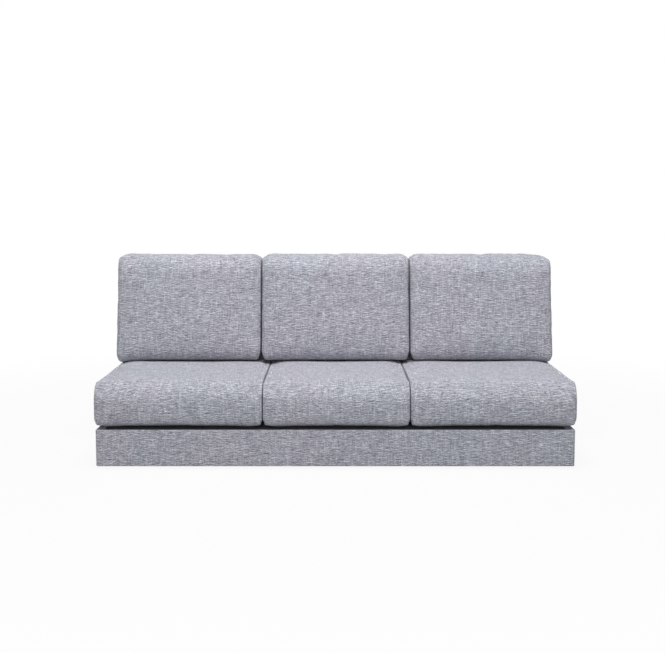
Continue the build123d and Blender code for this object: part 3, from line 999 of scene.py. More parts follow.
    def _outline(self, x: np.ndarray, shrink: float, fuller: Pair) -> np.ndarray:
        """One outline with its crown, swelling front, drawn-in side and taper.

        Args:
            x: Where each of its points lies across the cushion.
            shrink: How far it is drawn in, as in the loop.
            fuller: How much rounder this end is on sides A and B.

        Returns:
            Its points as x, a, b.
        """
        cut = self.cut
        a, b = self._loop(shrink, fuller)
        share = a / cut.length
        width = np.maximum(1 - np.abs(x / self.half_width) ** cut.crown_power, 0.0)
        swell = 1 - (2 * share - 1) ** 4
        crown_low, crown_high = self.crown_rise
        top = ease(b, cut.depth * crown_low, cut.depth * crown_high)
        rise = np.clip(b / cut.depth, 0, 1)
        front = 1 - ease(a, 0.0, self.nose_reach)
        near_side = nearing(np.abs(x), self.half_width, (self.draw_reach, 0.0))
        x = x - np.sign(x) * near_side * cut.side_draw * np.sin(pi * share)
        b = b + cut.crown * width * swell * top
        a = a - cut.front_swell * width * np.sin(pi * rise) * front
        under = 1 - ease(b, 0.0, self.under_reach)
        b = b + cut.front_lift * (1 - ease(a, *self.lift_reach)) * under
        b = b * (1 - cut.taper * (1 - share))
        return np.stack([x, a, b], axis=1)

    def _cap(self, ring: np.ndarray) -> np.ndarray:
        """Fills an end outline with a grid between its four sides.

        Args:
            ring: Points of the outline, sides A, B, C and D in turn.

        Returns:
            Rows from side C to side A by columns from side B to side D.
        """
        n_a, n_b = self.segments_a, self.segments_b
        closed = np.concatenate([ring, ring[:1]])
        side_a = closed[: n_a + 1][::-1]
        side_b = closed[n_a: n_a + n_b + 1][::-1]
        side_c = closed[n_a + n_b: 2 * n_a + n_b + 1]
        side_d = closed[2 * n_a + n_b: 2 * (n_a + n_b) + 1]
        s = np.linspace(0, 1, n_a + 1)[None, :, None]
        t = np.linspace(0, 1, n_b + 1)[:, None, None]
        up_down = (1 - t) * side_c[None] + t * side_a[None]
        across = (1 - s) * side_b[:, None] + s * side_d[:, None]
        corners = (
            (1 - s) * (1 - t) * side_c[0] + s * (1 - t) * side_c[-1]
            + (1 - s) * t * side_a[0] + s * t * side_a[-1]
        )
        return up_down + across - corners

    def build(self, finishes: Finishes) -> bpy.types.Object:
        """Makes the cushion, inflated by a cloth simulation, with its seams and zip groove.

        Args:
            finishes: The sofa's finishes.

        Returns:
            The finished piece.
        """
        band, cloth = self._shape()
        caps = [self._cap(band[0]), self._cap(band[-1])]
        for cap, sign in zip(caps, (-1, 1)):
            rows, columns = cap.shape[:2]
            t = np.sin(pi * np.linspace(0, 1, rows))[:, None]
            s = np.sin(pi * np.linspace(0, 1, columns)) ** 0.5
            cap[..., 0] += sign * self.gusset_swell * t * s[None]
        band, caps = self._inflated(band, caps)
        return self._dressed(band, caps, cloth, finishes)

    def _inflated(self, band: np.ndarray, caps: list[np.ndarray]) -> tuple[np.ndarray, list]:
        """Blows the cushion up a little with a cloth simulation.

        Args:
            band: The wrap-round panel's points.
            caps: The two gussets' points.

        Returns:
            The moved panel and gussets.
        """
        work = Patchwork()
        closed = np.concatenate([band, band[:, :1]], axis=1)
        for grid in (closed, *caps):
            work.grid(grid, np.zeros((*grid.shape[:2], 2)))
        start = np.array(work.points)
        piece = work.object(f"{self.name}_simulated", None)
        piece.data.vertices.foreach_set("co", self.to_world(start).ravel())
        face_outwards(piece)
        seam = piece.vertex_groups.new(name="seam")
        held = piece.vertex_groups.new(name="held")
        half_turn = self.cut.end_steps // 2
        for station in (half_turn, -1 - half_turn):
            seam.add([work.point(place) for place in band[station]], 1.0, "REPLACE")
        near_zip = np.abs(start[:, 1] - self.cut.length) < self.zip_hold
        held.add(np.nonzero(near_zip)[0].tolist(), 1.0, "REPLACE")
        moved = self._simulate(piece, seam.name, held.name)
        mesh = piece.data
        shift = self._folds_alone(mesh, self.to_cushion(moved) - start) * self.sim_share
        bpy.data.objects.remove(piece)
        bpy.data.meshes.remove(mesh)
        near_end = nearing(np.abs(start[:, 0]), self.half_width, self.steady_ends)
        shift[:, 0] *= 1 - self.steady_share * near_end
        length = np.linalg.norm(shift, axis=1, keepdims=True)
        shift *= np.minimum(1.0, self.sim_cap / np.maximum(length, 1e-9))
        places = self._within_space(start + shift)

        def read(grid: np.ndarray) -> np.ndarray:
            """The moved places of a grid's points."""
            moved = [places[work.point(point)] for point in grid.reshape(-1, 3)]
            return np.array(moved).reshape(grid.shape)

        return read(band), [read(cap) for cap in caps]

    def _simulate(self, piece: bpy.types.Object, seam: str, held: str) -> np.ndarray:
        """Runs the cloth simulation, with air pressure, drawn-in seams and a held zip.

        Args:
            piece: The cushion as cloth.
            seam: Name of the group of points along the seams.
            held: Name of the group of points that stay.

        Returns:
            Its last places in the world.
        """
        modifier = piece.modifiers.new("cloth", "CLOTH")
        settings = modifier.settings
        for name, value in {
            "quality": 4, "mass": 0.25, "tension_stiffness": 14, "compression_stiffness": 14,
            "bending_stiffness": 0.6, "use_pressure": True, "uniform_pressure_force": 4,
            "vertex_group_mass": held, "vertex_group_shrink": seam,
            "shrink_min": -0.014, "shrink_max": 0.020,
        }.items():
            setattr(settings, name, value)
        settings.effector_weights.gravity = 0
        modifier.collision_settings.use_collision = False
        cache = modifier.point_cache
        cache.frame_start, cache.frame_end = 1, self.sim_frames
        scene = bpy.context.scene
        for number in range(1, self.sim_frames + 1):
            scene.frame_set(number)
        cloth = piece.evaluated_get(bpy.context.evaluated_depsgraph_get())
        mesh = cloth.to_mesh()
        places = np.zeros(len(mesh.vertices) * 3)
        mesh.vertices.foreach_get("co", places)
        cloth.to_mesh_clear()
        piece.modifiers.remove(modifier)
        scene.frame_set(1)
        return places.reshape(-1, 3)

    def _folds_alone(self, mesh: bpy.types.Mesh, shift: np.ndarray) -> np.ndarray:
        """Keeps the simulation's folds and puckers, and leaves out its slow change of form.

        Args:
            mesh: The simulated cushion's mesh.
            shift: How far each of its points moved.

        Returns:
            The quick part of the movement.
        """
        pairs = np.zeros(len(mesh.edges) * 2, dtype=int)
        mesh.edges.foreach_get("vertices", pairs)
        first, second = pairs.reshape(-1, 2).T
        count = np.bincount(pairs, minlength=len(shift))[:, None]
        slow = shift
        for _ in range(self.form_rounds):
            total = np.zeros_like(slow)
            np.add.at(total, first, slow[second])
            np.add.at(total, second, slow[first])
            slow = 0.5 * slow + 0.5 * total / count
        return shift - slow

    def _within_space(self, places: np.ndarray) -> np.ndarray:
        """Keeps the cloth out of its neighbours: the lane, the seat or back behind it, the foot."""
        low = np.array([-self.half_width, -np.inf, 0.0])
        return np.clip(places, low, np.array([self.half_width, self.cut.length, np.inf]))

    def _dressed(self, band: np.ndarray, caps: list[np.ndarray], cloth: np.ndarray,
                 finishes: Finishes) -> bpy.types.Object:
        """Adds seams, zip groove and unevenness, and makes the mesh with its cloth map.

        Args:
            band: The wrap-round panel's points, stations by points.
            caps: The two gussets' points.
            cloth: Each station's cloth distance across.
            finishes: The sofa's finishes.

        Returns:
            The finished piece.
        """
        steps = self.cut.end_steps
        seam_at = steps / 2
        last = len(band) - 1
        fine = [seam_at + offset for offset in (-0.5, -0.22, 0.22, 0.5)]
        rows = sorted({*range(last + 1), *fine, *(last - value for value in fine)})
        cloth = np.interp(rows, np.arange(last + 1), cloth)
        stations = np.array(rows)
        from_seam = np.minimum(abs(stations - seam_at), abs(last - seam_at - stations))
        from_seam = from_seam * np.mean(self.cut.end_rounds) * (pi / 2) / steps

        band = resampled(band, rows)
        band = np.concatenate([band, band[:, :1]], axis=1)
        band = resampled(band, self._zip_columns(), axis=1)
        band = self._press_seams(band, from_seam)
        caps = [resampled(cap, self._zip_rows()) for cap in caps]
        self._press_zip(band)
        for cap, ring in zip(caps, (band[0], band[-1])):
            self._lay_border(cap, ring)

        band, *caps = self._fitted([self._uneven(grid) for grid in (band, *caps)])
        for grid in (band, *caps):
            grid[..., 1] += self._foot_sag(grid)
        world_band = self.to_world(band)
        along = distance_along(band[len(band) // 2])
        work = Patchwork()
        first, final = rows.index(seam_at), rows.index(last - seam_at)
        drift = self.seed * 0.37
        places = np.stack(np.meshgrid(cloth + self.centre + drift, -along, indexing="ij"), axis=2)
        work.grid(world_band[first: final + 1], places[first: final + 1])
        gussets = ((band[: first + 1], -1), (band[final:], 1), (caps[0], -1), (caps[1], 1))
        for grid, sign in gussets:
            work.grid(self.to_world(grid), self._unrolled(grid, sign, drift))
        piece = work.object(f"{self.name}_shell", finishes.tweed)
        face_outwards(piece)
        return smoothed(piece)

    def _unrolled(self, grid: np.ndarray, sign: int, drift: float) -> np.ndarray:
        """Lays a gusset flat: where it curls in over an edge, its cloth goes on outwards.

        Args:
            grid: The gusset's points as x, a, b.
            sign: -1 for the left gusset, 1 for the right one.
            drift: Shifts the cloth, so that no two cushions are alike.

        Returns:
            Places on the cut cloth, with the weft level, also on a cushion that stands.
        """
        centre = np.array([self.cut.length, self.cut.depth]) / 2
        share = np.clip((grid[..., 1:] - centre) / centre, -1.05, 1.05)
        curl = np.abs(grid[..., 0]).max() - np.abs(grid[..., :1])
        flat = grid[..., 1:] + np.sign(share) * np.abs(share) ** 8 * curl
        places = np.stack([sign * flat[..., 0] + drift, flat[..., 1]], axis=2)
        return places[..., ::-1] if self.stands else places

    def _zip_columns(self) -> list[float]:
        """Places along the closed outline that the panel keeps, with fine ones at the zip.

        Returns:
            The places, in grid steps.
        """
        middle_b = self.segments_a + self.segments_b / 2
        middle_d = middle_b + self.segments_a + self.segments_b
        offsets = self._zip_offsets()
        extra = {middle_d + value for value in offsets} | {middle_b - value for value in offsets}
        return sorted({*map(float, range(self.loop_count + 1)), *extra})

    def _zip_rows(self) -> list[float]:
        """The same places as rows of a gusset's grid."""
        extra = (self.segments_b / 2 + value for value in self._zip_offsets())
        return sorted({*map(float, range(self.segments_b + 1)), *extra})

    def _zip_offsets(self) -> list[float]:
        """Fine places about the middle of side D, apart from those that the grid has.

        Returns:
            Their distances from the middle, in grid steps.
        """
        corner_b = self.cut.corners[2][1] + self.cut.corners[3][1]
        step = (self.cut.depth - corner_b) / self.count_b
        half = self.zip_width / 2
        spots = [half + offset for offset in self.zip_lines]
        return [sign * spot / step for spot in spots for sign in (-1, 1)
                if abs(spot / step - round(spot / step)) > 0.04]

    def _press_seams(self, band: np.ndarray, from_seam: np.ndarray) -> np.ndarray:
        """Pulls the seam lines in and gathers the cloth beside them a little.

        Args:
            band: The wrap-round panel's points.
            from_seam: Each station's distance from its seam.

        Returns:
            The pressed panel.
        """
        normal = surface_normals(band)
        outward = np.sign(((band - band.mean(axis=(0, 1))) * normal).sum(axis=2, keepdims=True))
        normal *= np.where(outward == 0, 1, outward)
        dip = seam_dip(from_seam, self.seam_depth, self.seam_width)[:, None]
        near = np.exp(-from_seam / self.gather_reach)[:, None]
        half = len(band) // 2
        along = distance_along(band[half]) / self.gather_length
        left, right = (
            [noise.noise(Vector((value, self.seed, side))) for value in along]
            for side in (0.0, 9.0)
        )
        pucker = np.concatenate([near[:half] * left, near[half:] * right]) * self.gather_height
        return band + normal * (pucker - dip)[..., None]

    def _press_zip(self, band: np.ndarray) -> None:
        """Sinks the zip's groove into the middle of side D.

        Args:
            band: The wrap-round panel's points, which are changed.
        """
        x, a, b = band[..., 0], band[..., 1], band[..., 2]
        across = 1 - nearing(np.abs(b - self.cut.depth / 2), self.zip_width / 2, self.zip_lip)
        along = 1 - ease(np.abs(x), self.zip_half, self.zip_half + self.zip_run_out)
        at_end = nearing(a, self.cut.length, self.zip_edge)
        band[..., 1] = a - self.zip_depth * across * along * at_end

    def _lay_border(self, cap: np.ndarray, ring: np.ndarray) -> None:
        """Gives a gusset's border the panel's exact points.

        Args:
            cap: The gusset's grid, which is changed.
            ring: The panel's last outline, closed.
        """
        rows, columns = cap.shape[:2]
        cap[-1, ::-1] = ring[:columns]
        cap[::-1, 0] = ring[columns - 1: columns + rows - 1]
        cap[0] = ring[columns + rows - 2: 2 * columns + rows - 2]
        cap[:, -1] = ring[2 * columns + rows - 3: 2 * (columns + rows) - 3]

    def _fitted(self, grids: list[np.ndarray]) -> list[np.ndarray]:
        """Stretches the cushion by a few millimetres to fill the space it has.

        Args:
            grids: The panel and the gussets.

        Returns:
            The same grids, fitted.
        """
        cloud = np.concatenate([grid.reshape(-1, 3) for grid in grids])
        low, high = cloud.min(axis=0), cloud.max(axis=0)
        margin = self.rest_gap
        left, right = self.outward
        tall = high[2] if self.cut.taper else self.cut.depth + self.cut.crown
        space_low = np.array([-self.half_width - left + margin, -margin * self.stands, 0.0])
        space_high = np.array([self.half_width + right - margin, self.cut.length, tall])
        scale = (space_high - space_low) / (high - low)
        return [space_low + (grid - low) * scale for grid in grids]

    def _foot_sag(self, grid: np.ndarray) -> np.ndarray:
        """How far a standing cushion settles: at its foot's ends and at its upper corners.

        Args:
            grid: Points as x, a, b.

        Returns:
            The distance down for each point.
        """
        side = np.clip(np.abs(grid[..., 0]) / self.half_width, 0, 1)
        sag, drop = (np.where(grid[..., 0] < 0, *pair) for pair in (self.end_sags, self.top_drops))
        down = grid[..., 1] / self.cut.length
        return (sag * side ** 5 * ease(down, *self.sag_rows)
                + drop * ease(side, *self.drop_sides) * (1 - ease(down, *self.drop_rows)))

    def _uneven(self, places: np.ndarray) -> np.ndarray:
        """Adds the slow unevenness of a used cushion, away from what it touches.

        Args:
            places: Grid of points as x, a, b.

        Returns:
            The uneven grid.
        """
        flat = places.reshape(-1, 3)
        patterns = list(zip(self.lump_sizes, (self.seed, self.seed + 5, self.seed + 9)))
        shift = np.array([[lumps(p, size, seed) for size, seed in patterns] for p in flat])
        rear = 1 - nearing(flat[:, 1], self.cut.length, self.calm_rear)
        away = ease(flat[:, 2], *self.calm_foot) * rear
        shift *= np.array(self.unevenness) * away[:, None]
        shift[:, 0] *= 1 - nearing(np.abs(flat[:, 0]), self.half_width, self.calm_ends)
        return (flat + shift).reshape(places.shape)


def resampled(grid: np.ndarray, places: Sequence[float], axis: int = 0) -> np.ndarray:
    """Reads a grid at whole and broken places along one axis, on a smooth line.

    Args:
        grid: Points in rows and columns.
        places: Where to read, in steps of the grid.
        axis: 0 to read between rows, 1 between columns.

    Returns:
        The grid at those places.
    """
    work = np.moveaxis(grid, axis, 0)
    last = len(work) - 1
    made = []
    for place in places:
        low = min(int(place), last - 1) if last else 0
        share = place - low
        if share < 1e-9:
            made.append(work[low])
            continue
        before, after = work[max(low - 1, 0)], work[min(low + 2, last)]
        first, second = work[low], work[low + 1]
        made.append(0.5 * (
            2 * first + (second - before) * share
            + (2 * before - 5 * first + 4 * second - after) * share ** 2
            + (3 * first - before - 3 * second + after) * share ** 3
        ))
    return np.moveaxis(np.array(made), 0, axis)


def surface_normals(grid: np.ndarray) -> np.ndarray:
    """Unit normals of a grid of points."""
    normal = np.cross(np.gradient(grid, axis=0), np.gradient(grid, axis=1))
    return normal / np.maximum(np.linalg.norm(normal, axis=2, keepdims=True), 1e-12)


class Row(Enum):
    """The two rows of cushions."""

    SEAT = "seat"
    BACK = "back"


@dataclass(frozen=True)
class Habit:
    """How one cushion differs from its neighbours, as left and right values in metres."""

    outward: Pair = (0.0, 0.0)
    end_sags: Pair = (0.0, 0.0)
    top_drops: Pair = (0.0, 0.0)


@dataclass
class CushionRows:
    """The six cushions, with their sizes read from the frame's own solids."""

    HABITS: ClassVar[dict[tuple[Row, str], Habit]] = {
        (Row.BACK, "left"): Habit((7 * MM, 0.0), (15 * MM, 3 * MM), (0.0, 2 * MM)),
        (Row.BACK, "middle"): Habit(end_sags=(3 * MM, 3 * MM)),
        (Row.BACK, "right"): Habit((0.0, 2 * MM), (3 * MM, 15 * MM), (0.0, 10 * MM)),
    }
    CUTS: ClassVar[dict[Row, CushionCut]] = {
        Row.SEAT: CushionCut(
            length=0.750, depth=0.196, crown=0.008, crown_power=5.0,
            corners=((0.090, 0.084), (0.064, 0.038), (0.028, 0.028), (0.028, 0.028)),
            end_insets=(0.002, 0.012, 0.052, 0.022), end_rounds=(0.010, 0.016, 0.064, 0.024),
            side_draw=0.0008, front_swell=0.004, front_lift=0.005,
        ),
        Row.BACK: CushionCut(
            length=0.493, depth=0.174, crown=0.016, crown_power=2.6,
            corners=((0.080, 0.062), (0.030, 0.030), (0.044, 0.044), (0.044, 0.044)),
            end_insets=(0.030, 0.024, 0.020, 0.062), end_rounds=(0.044, 0.024, 0.022, 0.054),
            side_draw=0.0008, front_swell=0.0, front_lift=0.0, taper=40 / 174,
        ),
    }
    FILLS: ClassVar[dict[Row, float]] = {Row.SEAT: 0.9, Row.BACK: 0.75}
    FOLDS: ClassVar[dict[Row, float]] = {Row.SEAT: 0.42, Row.BACK: 0.36}
    OUTER_ENDS: ClassVar[dict[Row, Pair]] = {
        Row.SEAT: (1.0, 1.7), Row.BACK: (1.7, 1.15),
    }

    rake: float = radians(8.0)
    rest_gap: float = 0.3 * MM

    def build(self, finishes: Finishes) -> None:
        """Makes all six cushions and hands them to their bodies.

        Args:
            finishes: The sofa's finishes.
        """
        for row in Row:
            for number, side in enumerate(SIDES):
                self._cushion(row, side, number, finishes)

    def _cushion(self, row: Row, side: str, number: int, finishes: Finishes) -> None:
        """Makes one cushion in the space of its own solid.

        Args:
            row: The row that it is in.
            side: Its place in the row.
            number: The same place as a number, from the left.
            finishes: The sofa's finishes.
        """
        body = f"{row.value}_{side}_cushion"
        low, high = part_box(f"{body}_cover")
        zip_low, zip_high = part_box(f"{body}_zip_chain")
        habit = self.HABITS.get((row, side), Habit())
        plain, outer = (1.0, 1.0), self.OUTER_ENDS[row]
        placing = self._seat_placing if row is Row.SEAT else self._back_placing
        to_world, to_cushion = placing(low, high)
        piece = Cushion(
            name=body, half_width=(high.x - low.x) / 2, centre=(low.x + high.x) / 2,
            cut=self.CUTS[row], to_world=to_world, to_cushion=to_cushion,
            zip_half=(zip_high.x - zip_low.x) / 2, stands=row is Row.BACK,
            seed=1.0 + number + (10 if row is Row.BACK else 0), sim_share=self.FOLDS[row],
            outward=habit.outward, end_sags=habit.end_sags, top_drops=habit.top_drops,
            fuller_ends=tuple(outer if side == end else plain for end in ("left", "right")),
        ).build(finishes)
        handed_over(piece, body, f"{body}_cover")

    @staticmethod
    def _seat_placing(low: Vector, high: Vector) -> tuple[Callable, Callable]:
        """Between a seat cushion's frame and the sofa's."""
        origin = np.array([(low.x + high.x) / 2, low.y, low.z])
        return lambda places: places + origin, lambda places: places - origin

    def _back_placing(self, low: Vector, high: Vector) -> tuple[Callable, Callable]:
        """Between a leaning back cushion's frame and the sofa's.

        Args:
            low: Lower corner of the cushion's box.
            high: Upper corner of the cushion's box.

        Returns:
            What turns x, a, b into places on the sofa, and its reverse.
        """
        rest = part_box("back_inner_cover")[0]
        centre, lean = (low.x + high.x) / 2, tan(self.rake)
        foot_y = rest.y + (low.z - rest.z) * lean - self.rest_gap

        def to_world(places: np.ndarray) -> np.ndarray:
            """Places on the sofa of a cushion's x, a, b."""
            x, a, b = np.moveaxis(places, -1, 0)
            return np.stack([x + centre, foot_y + (high.z - a - low.z) * lean - b, high.z - a], -1)

        def to_cushion(places: np.ndarray) -> np.ndarray:
            """A cushion's x, a, b of places on the sofa."""
            x, y, z = np.moveaxis(places, -1, 0)
            return np.stack([x - centre, high.z - z, foot_y + (z - low.z) * lean - y], -1)

        return to_world, to_cushion


# ---------------------------------------------------------------- fitted covers

@dataclass(frozen=True)
class SoftBox:
    """A box whose edges are rounded: the outside of an upholstered frame.

    The side round may change with the place, so it is given as a function of the places.
    """

    low: Triple
    high: Triple
    side_round: float
    top_round: Callable[[np.ndarray], np.ndarray]
    foot_round: float

    def skin(self, places: np.ndarray) -> tuple[np.ndarray, np.ndarray]:
        """Moves places on the sharp box onto the rounded one.

        Args:
            places: Places on the sharp box, in any grid.

        Returns:
            The moved places and their outward directions.
        """
        low, high = np.array(self.low), np.array(self.high)
        upper = places[..., 2] > (low[2] + high[2]) / 2
        top = self.top_round(places)
        reach = np.full_like(places, self.side_round)
        reach[..., 2] = np.where(upper, top, self.foot_round)
        near_top = upper & (places[..., 2] > high[2] - top - MM)
        flat_top = near_top & (top < self.side_round)
        reach[..., 0] = np.where(flat_top, np.maximum(top, 0.5 * MM), reach[..., 0])
        inner = np.clip(places, low + reach, high - reach)
        gap = (places - inner) / reach
        length = np.linalg.norm(gap, axis=-1, keepdims=True)
        unit = gap / np.maximum(length, 1e-9)
        normal = unit / reach
        normal /= np.maximum(np.linalg.norm(normal, axis=-1, keepdims=True), 1e-9)
        return inner + unit * reach, normal


@dataclass
class PanelCut:
    """One flat stretch of a cover panel: a grid on one face of the sharp box.

    s runs across and t up or inwards, both in metres; place maps them onto the box.
    """

    s: np.ndarray
    t: np.ndarray
    place: Callable[[np.ndarray, np.ndarray], tuple]
    cloth: Callable[[np.ndarray, np.ndarray], tuple]

    def grids(self) -> tuple[np.ndarray, np.ndarray]:
        """Works out the stretch's points.

        Returns:
            Their places on the sharp box, and on the cut cloth.
        """
        s, t = np.meshgrid(self.s, self.t, indexing="ij")
        return tuple(
            np.stack(np.broadcast_arrays(s, *rule(s, t))[1:], axis=-1)
            for rule in (self.place, self.cloth)
        )


@dataclass
class FrameCovers:
    """Fitted tweed covers of the base and the back, with mitres, seams and a hem."""

    base_round: float = 12 * MM
    rim_round: float = 4.5 * MM
    least_rim: float = 0.4 * MM
    hem_round: float = 4 * MM
    back_round: float = 9 * MM
    rake: float = radians(8.0)
    rear_rake: float = radians(5.3)
    cloth: float = 3.4 * MM
    bulge: float = 1.8 * MM
    band_bulge: float = 0.6 * MM
    swell_reach: float = 120 * MM
    unevenness: float = 1.1 * MM
    lump_size: float = 160 * MM
    calm_border: float = 50 * MM
    seam_depth: float = 1.3 * MM
    seam_width: float = 1.7 * MM
    hem_stitch: float = 14 * MM
    stitch_depth: float = 0.7 * MM
    stitch_width: float = 1.3 * MM
    valley: float = 7.0 * MM
    valley_side: Pair = (3.5 * MM, 19 * MM)
    valley_end: Pair = (62 * MM, 125 * MM)
    valley_rear: Pair = (90 * MM, 20 * MM)
    rim_rear: Pair = (14 * MM, 0.0)
    roll_start: Pair = (26 * MM, 2 * MM)
    rim_fall: float = 2.6 * MM
    under_top: float = 0.5 * MM
    over_pad: float = 3.6 * MM
    least_pad: float = 0.6 * MM
    pad_fill: float = 0.7
    deck_thickness: float = 1.2 * MM
    deck_lap: float = 3 * MM
    deck_run_in: float = 16 * MM
    deck_step: float = 20 * MM
    tuck: float = 0.8 * MM
    dust_lap: float = 12 * MM
    dust_drop: float = 1.1 * MM
    dust_thickness: float = 0.8 * MM
    step: float = 16 * MM
    inner_step: float = 24 * MM
    band_step: float = 9 * MM
    fine: tuple[float, ...] = (1.2 * MM, 2.6 * MM, 4.5 * MM, 7.5 * MM, 12 * MM)

    def __post_init__(self) -> None:
        """Reads the covers' places from the frame, and sets the stations that they share."""
        front_low, front_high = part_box("base_front_cover")
        side_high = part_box("base_right_cover")[1]
        rear_low, rear_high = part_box("back_rear_cover")
        inner_low, inner_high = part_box("back_inner_cover")
        self.half = side_high.x
        self.front_y = front_low.y
        self.hem_z = front_low.z
        self.deck_z = front_high.z
        self.foot_y = inner_low.y
        self.top_z = inner_high.z
        rear_y = rear_high.y - (rear_high.z - self.deck_z) * tan(self.rear_rake)
        self.rear_y = round(rear_y, 3)
        self.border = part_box("deck_cloth")[0].y - self.front_y
        self.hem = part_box("dust_cover")[0].y - self.front_y
        self.under = self.rear_y - rear_low.y
        self.dust_z = self.hem_z - self.dust_drop
        self.wide = spread(-self.half, self.half, self.step, self.fine)
        self.deep = spread(self.foot_y, self.rear_y, self.band_step, self.fine[:-1])
        self.rows = spread(self.deck_z, self.top_z, self.step, self.fine)

    # -- shapes that several panels share

    def deck_fall(self, x: np.ndarray, y: np.ndarray) -> np.ndarray:
        """How far the deck and its border lie below their top: a roll, then a shallow valley.

        Args:
            x: Places across.
            y: Places from front to rear.

        Returns:
            The depth at each place.
        """
        inset = np.minimum(y - self.front_y, self.half - np.abs(x))
        ahead = 1 - nearing(y, self.foot_y, self.valley_rear)
        roll = self.rim_fall + (self.valley - self.rim_fall) * ease(inset, *self.valley_side)
        return roll * (1 - ease(inset, *self.valley_end)) * ahead

    def _base_rim(self, places: np.ndarray) -> np.ndarray:
        """Round of the base's top edge, which ends at the foot of the back."""
        ahead = 1 - nearing(places[..., 1], self.foot_y, self.rim_rear)
        return self.least_rim + (self.rim_round - self.least_rim) * ahead

    def _boxes(self) -> tuple[SoftBox, SoftBox]:
        """The covered base, and the covered back, upright and of even depth.

        Returns:
            The two boxes.
        """
        half, rear = self.half, self.rear_y
        base = SoftBox((-half, self.front_y, self.hem_z), (half, rear, self.deck_z),
                       self.base_round, self._base_rim, self.hem_round)
        back = SoftBox((-half, self.foot_y, self.hem_z), (half, rear, self.top_z),
                       self.back_round, lambda places: np.full(places.shape[:-1], self.back_round),
                       self.hem_round)
        return base, back

    def back_place(self, places: np.ndarray) -> np.ndarray:
        """Leans the upright back to its rake, with less depth towards its top.

        Args:
            places: Places on the upright back.

        Returns:
            The same places on the leaning back.
        """
        x, y, z = np.moveaxis(places, -1, 0)
        up = np.maximum(z - self.deck_z, 0.0)
        front = self.foot_y + up * tan(self.rake)
        rear = self.rear_y + up * tan(self.rear_rake)
        depth = np.where(z > self.deck_z, rear - front, self.rear_y - self.foot_y)
        leaned = rear - (self.rear_y - y) / (self.rear_y - self.foot_y) * depth
        return np.stack([x, leaned, z], axis=-1)

    # -- making one piece

    def _piece(self, name: str, cuts: list[PanelCut], box: SoftBox, leaned: bool,
               material: bpy.types.Material, seed: float, bulge: float) -> bpy.types.Object:
        """Makes one panel of a cover.

        Args:
            name: The piece's name.
            cuts: Its flat stretches, which share their edges.
            box: The rounded box that it covers.
            leaned: True for the back's panels.
            material: Its finish.
            seed: Shifts its unevenness.
            bulge: How far it swells between its seams.

        Returns:
            The panel, with its thickness.
        """
        work = Patchwork()
        for cut in cuts:
            sharp, cloth = cut.grids()
            skin, normal = box.skin(sharp)
            up = sharp[..., 2] - box.low[2]
            s = cut.s[:, None]
            across = np.broadcast_to(np.minimum(s - cut.s[0], cut.s[-1] - s), up.shape)
            seam = seam_dip(across, self.seam_depth, self.seam_width)
            rise = np.clip(up / (box.high[2] - box.low[2]), 0, 1)
            swell = bulge * ease(across, 0.0, self.swell_reach) * np.sin(pi * rise) ** 0.7
            hem = seam_dip(np.abs(up - self.hem_stitch), self.stitch_depth, self.stitch_width)
            uneven = np.array([lumps(p, self.lump_size, seed) for p in sharp.reshape(-1, 3)])
            uneven = uneven.reshape(up.shape) * self.unevenness
            uneven *= ease(across, 0.0, self.calm_border)
            upright = np.linalg.norm(normal[..., :2], axis=-1)
            skin = skin + normal * ((swell + uneven - hem) * upright - seam)[..., None]
            if leaned:
                skin = self.back_place(skin)
            else:
                near_top = nearing(skin[..., 2], self.deck_z, self.roll_start)
                skin[..., 2] -= near_top * self.deck_fall(skin[..., 0], skin[..., 1])
            work.grid(skin, cloth)
        piece = work.object(name, material)
        face_outwards(piece)
        centre = (Vector(box.low) + Vector(box.high)) / 2
        if sum((f.center - centre).dot(f.normal) * f.area for f in piece.data.polygons) < 0:
            piece.data.flip_normals()
        return thickened(piece, self.cloth)

    # -- the base

    def _base_panel(self, s: np.ndarray, edge: Callable, level: Callable) -> list[PanelCut]:
        """One panel of the base: its hem strip, face and border.

        Args:
            s: Stations along the panel.
            edge: Gives x and y of a station at an inset from the panel's face.
            level: Gives the cloth's place across of a station.

        Returns:
            The three stretches.
        """
        tall = self.deck_z - self.hem_z
        rows = spread(self.hem_z, self.deck_z, 12 * MM,
                      (1.0 * MM, 2.2 * MM, 4 * MM, 7 * MM, 13 * MM, 15 * MM))
        hem = spread(0.0, self.hem, 9 * MM, (1.5 * MM, 4 * MM, 12 * MM))
        border = spread(0.0, self.border, 2.5 * MM, (1.2 * MM, 2.4 * MM, 4.5 * MM))
        return [
            PanelCut(s, hem[::-1], lambda s, t: (*edge(s, t), self.hem_z),
                     lambda s, t: (level(s), -t)),
            PanelCut(s, rows, lambda s, t: (*edge(s, 0.0), t),
                     lambda s, t: (level(s), t - self.hem_z)),
            PanelCut(s, border, lambda s, t: (*edge(s, t), self.deck_z),
                     lambda s, t: (level(s), t + tall)),
        ]

    def _base_front(self) -> list[PanelCut]:
        """Front panel, mitred at both ends."""
        return self._base_panel(self.wide, lambda s, inset: (
            s * (self.half - inset) / self.half, self.front_y + inset), lambda s: s)

    def _base_side(self, side: int) -> list[PanelCut]:
        """Side panel, from the front mitre to the rear cover.

        Args:
            side: -1 for the left panel, 1 for the right one.

        Returns:
            Its stretches.
        """
        half, front, rear = self.half, self.front_y, self.rear_y
        near_back = [self.foot_y - gap for gap in (26 * MM, 14 * MM, 9 * MM, 4 * MM, 0.0)]
        y = np.unique(np.round([*spread(front, rear, self.step, self.fine), *near_back], 6))
        return self._base_panel(
            y,
            lambda s, inset: (
                side * (half - inset),
                front + inset + (s - front) * (rear - front - inset) / (rear - front),
            ),
            lambda s: side * s,
        )

    # -- the back

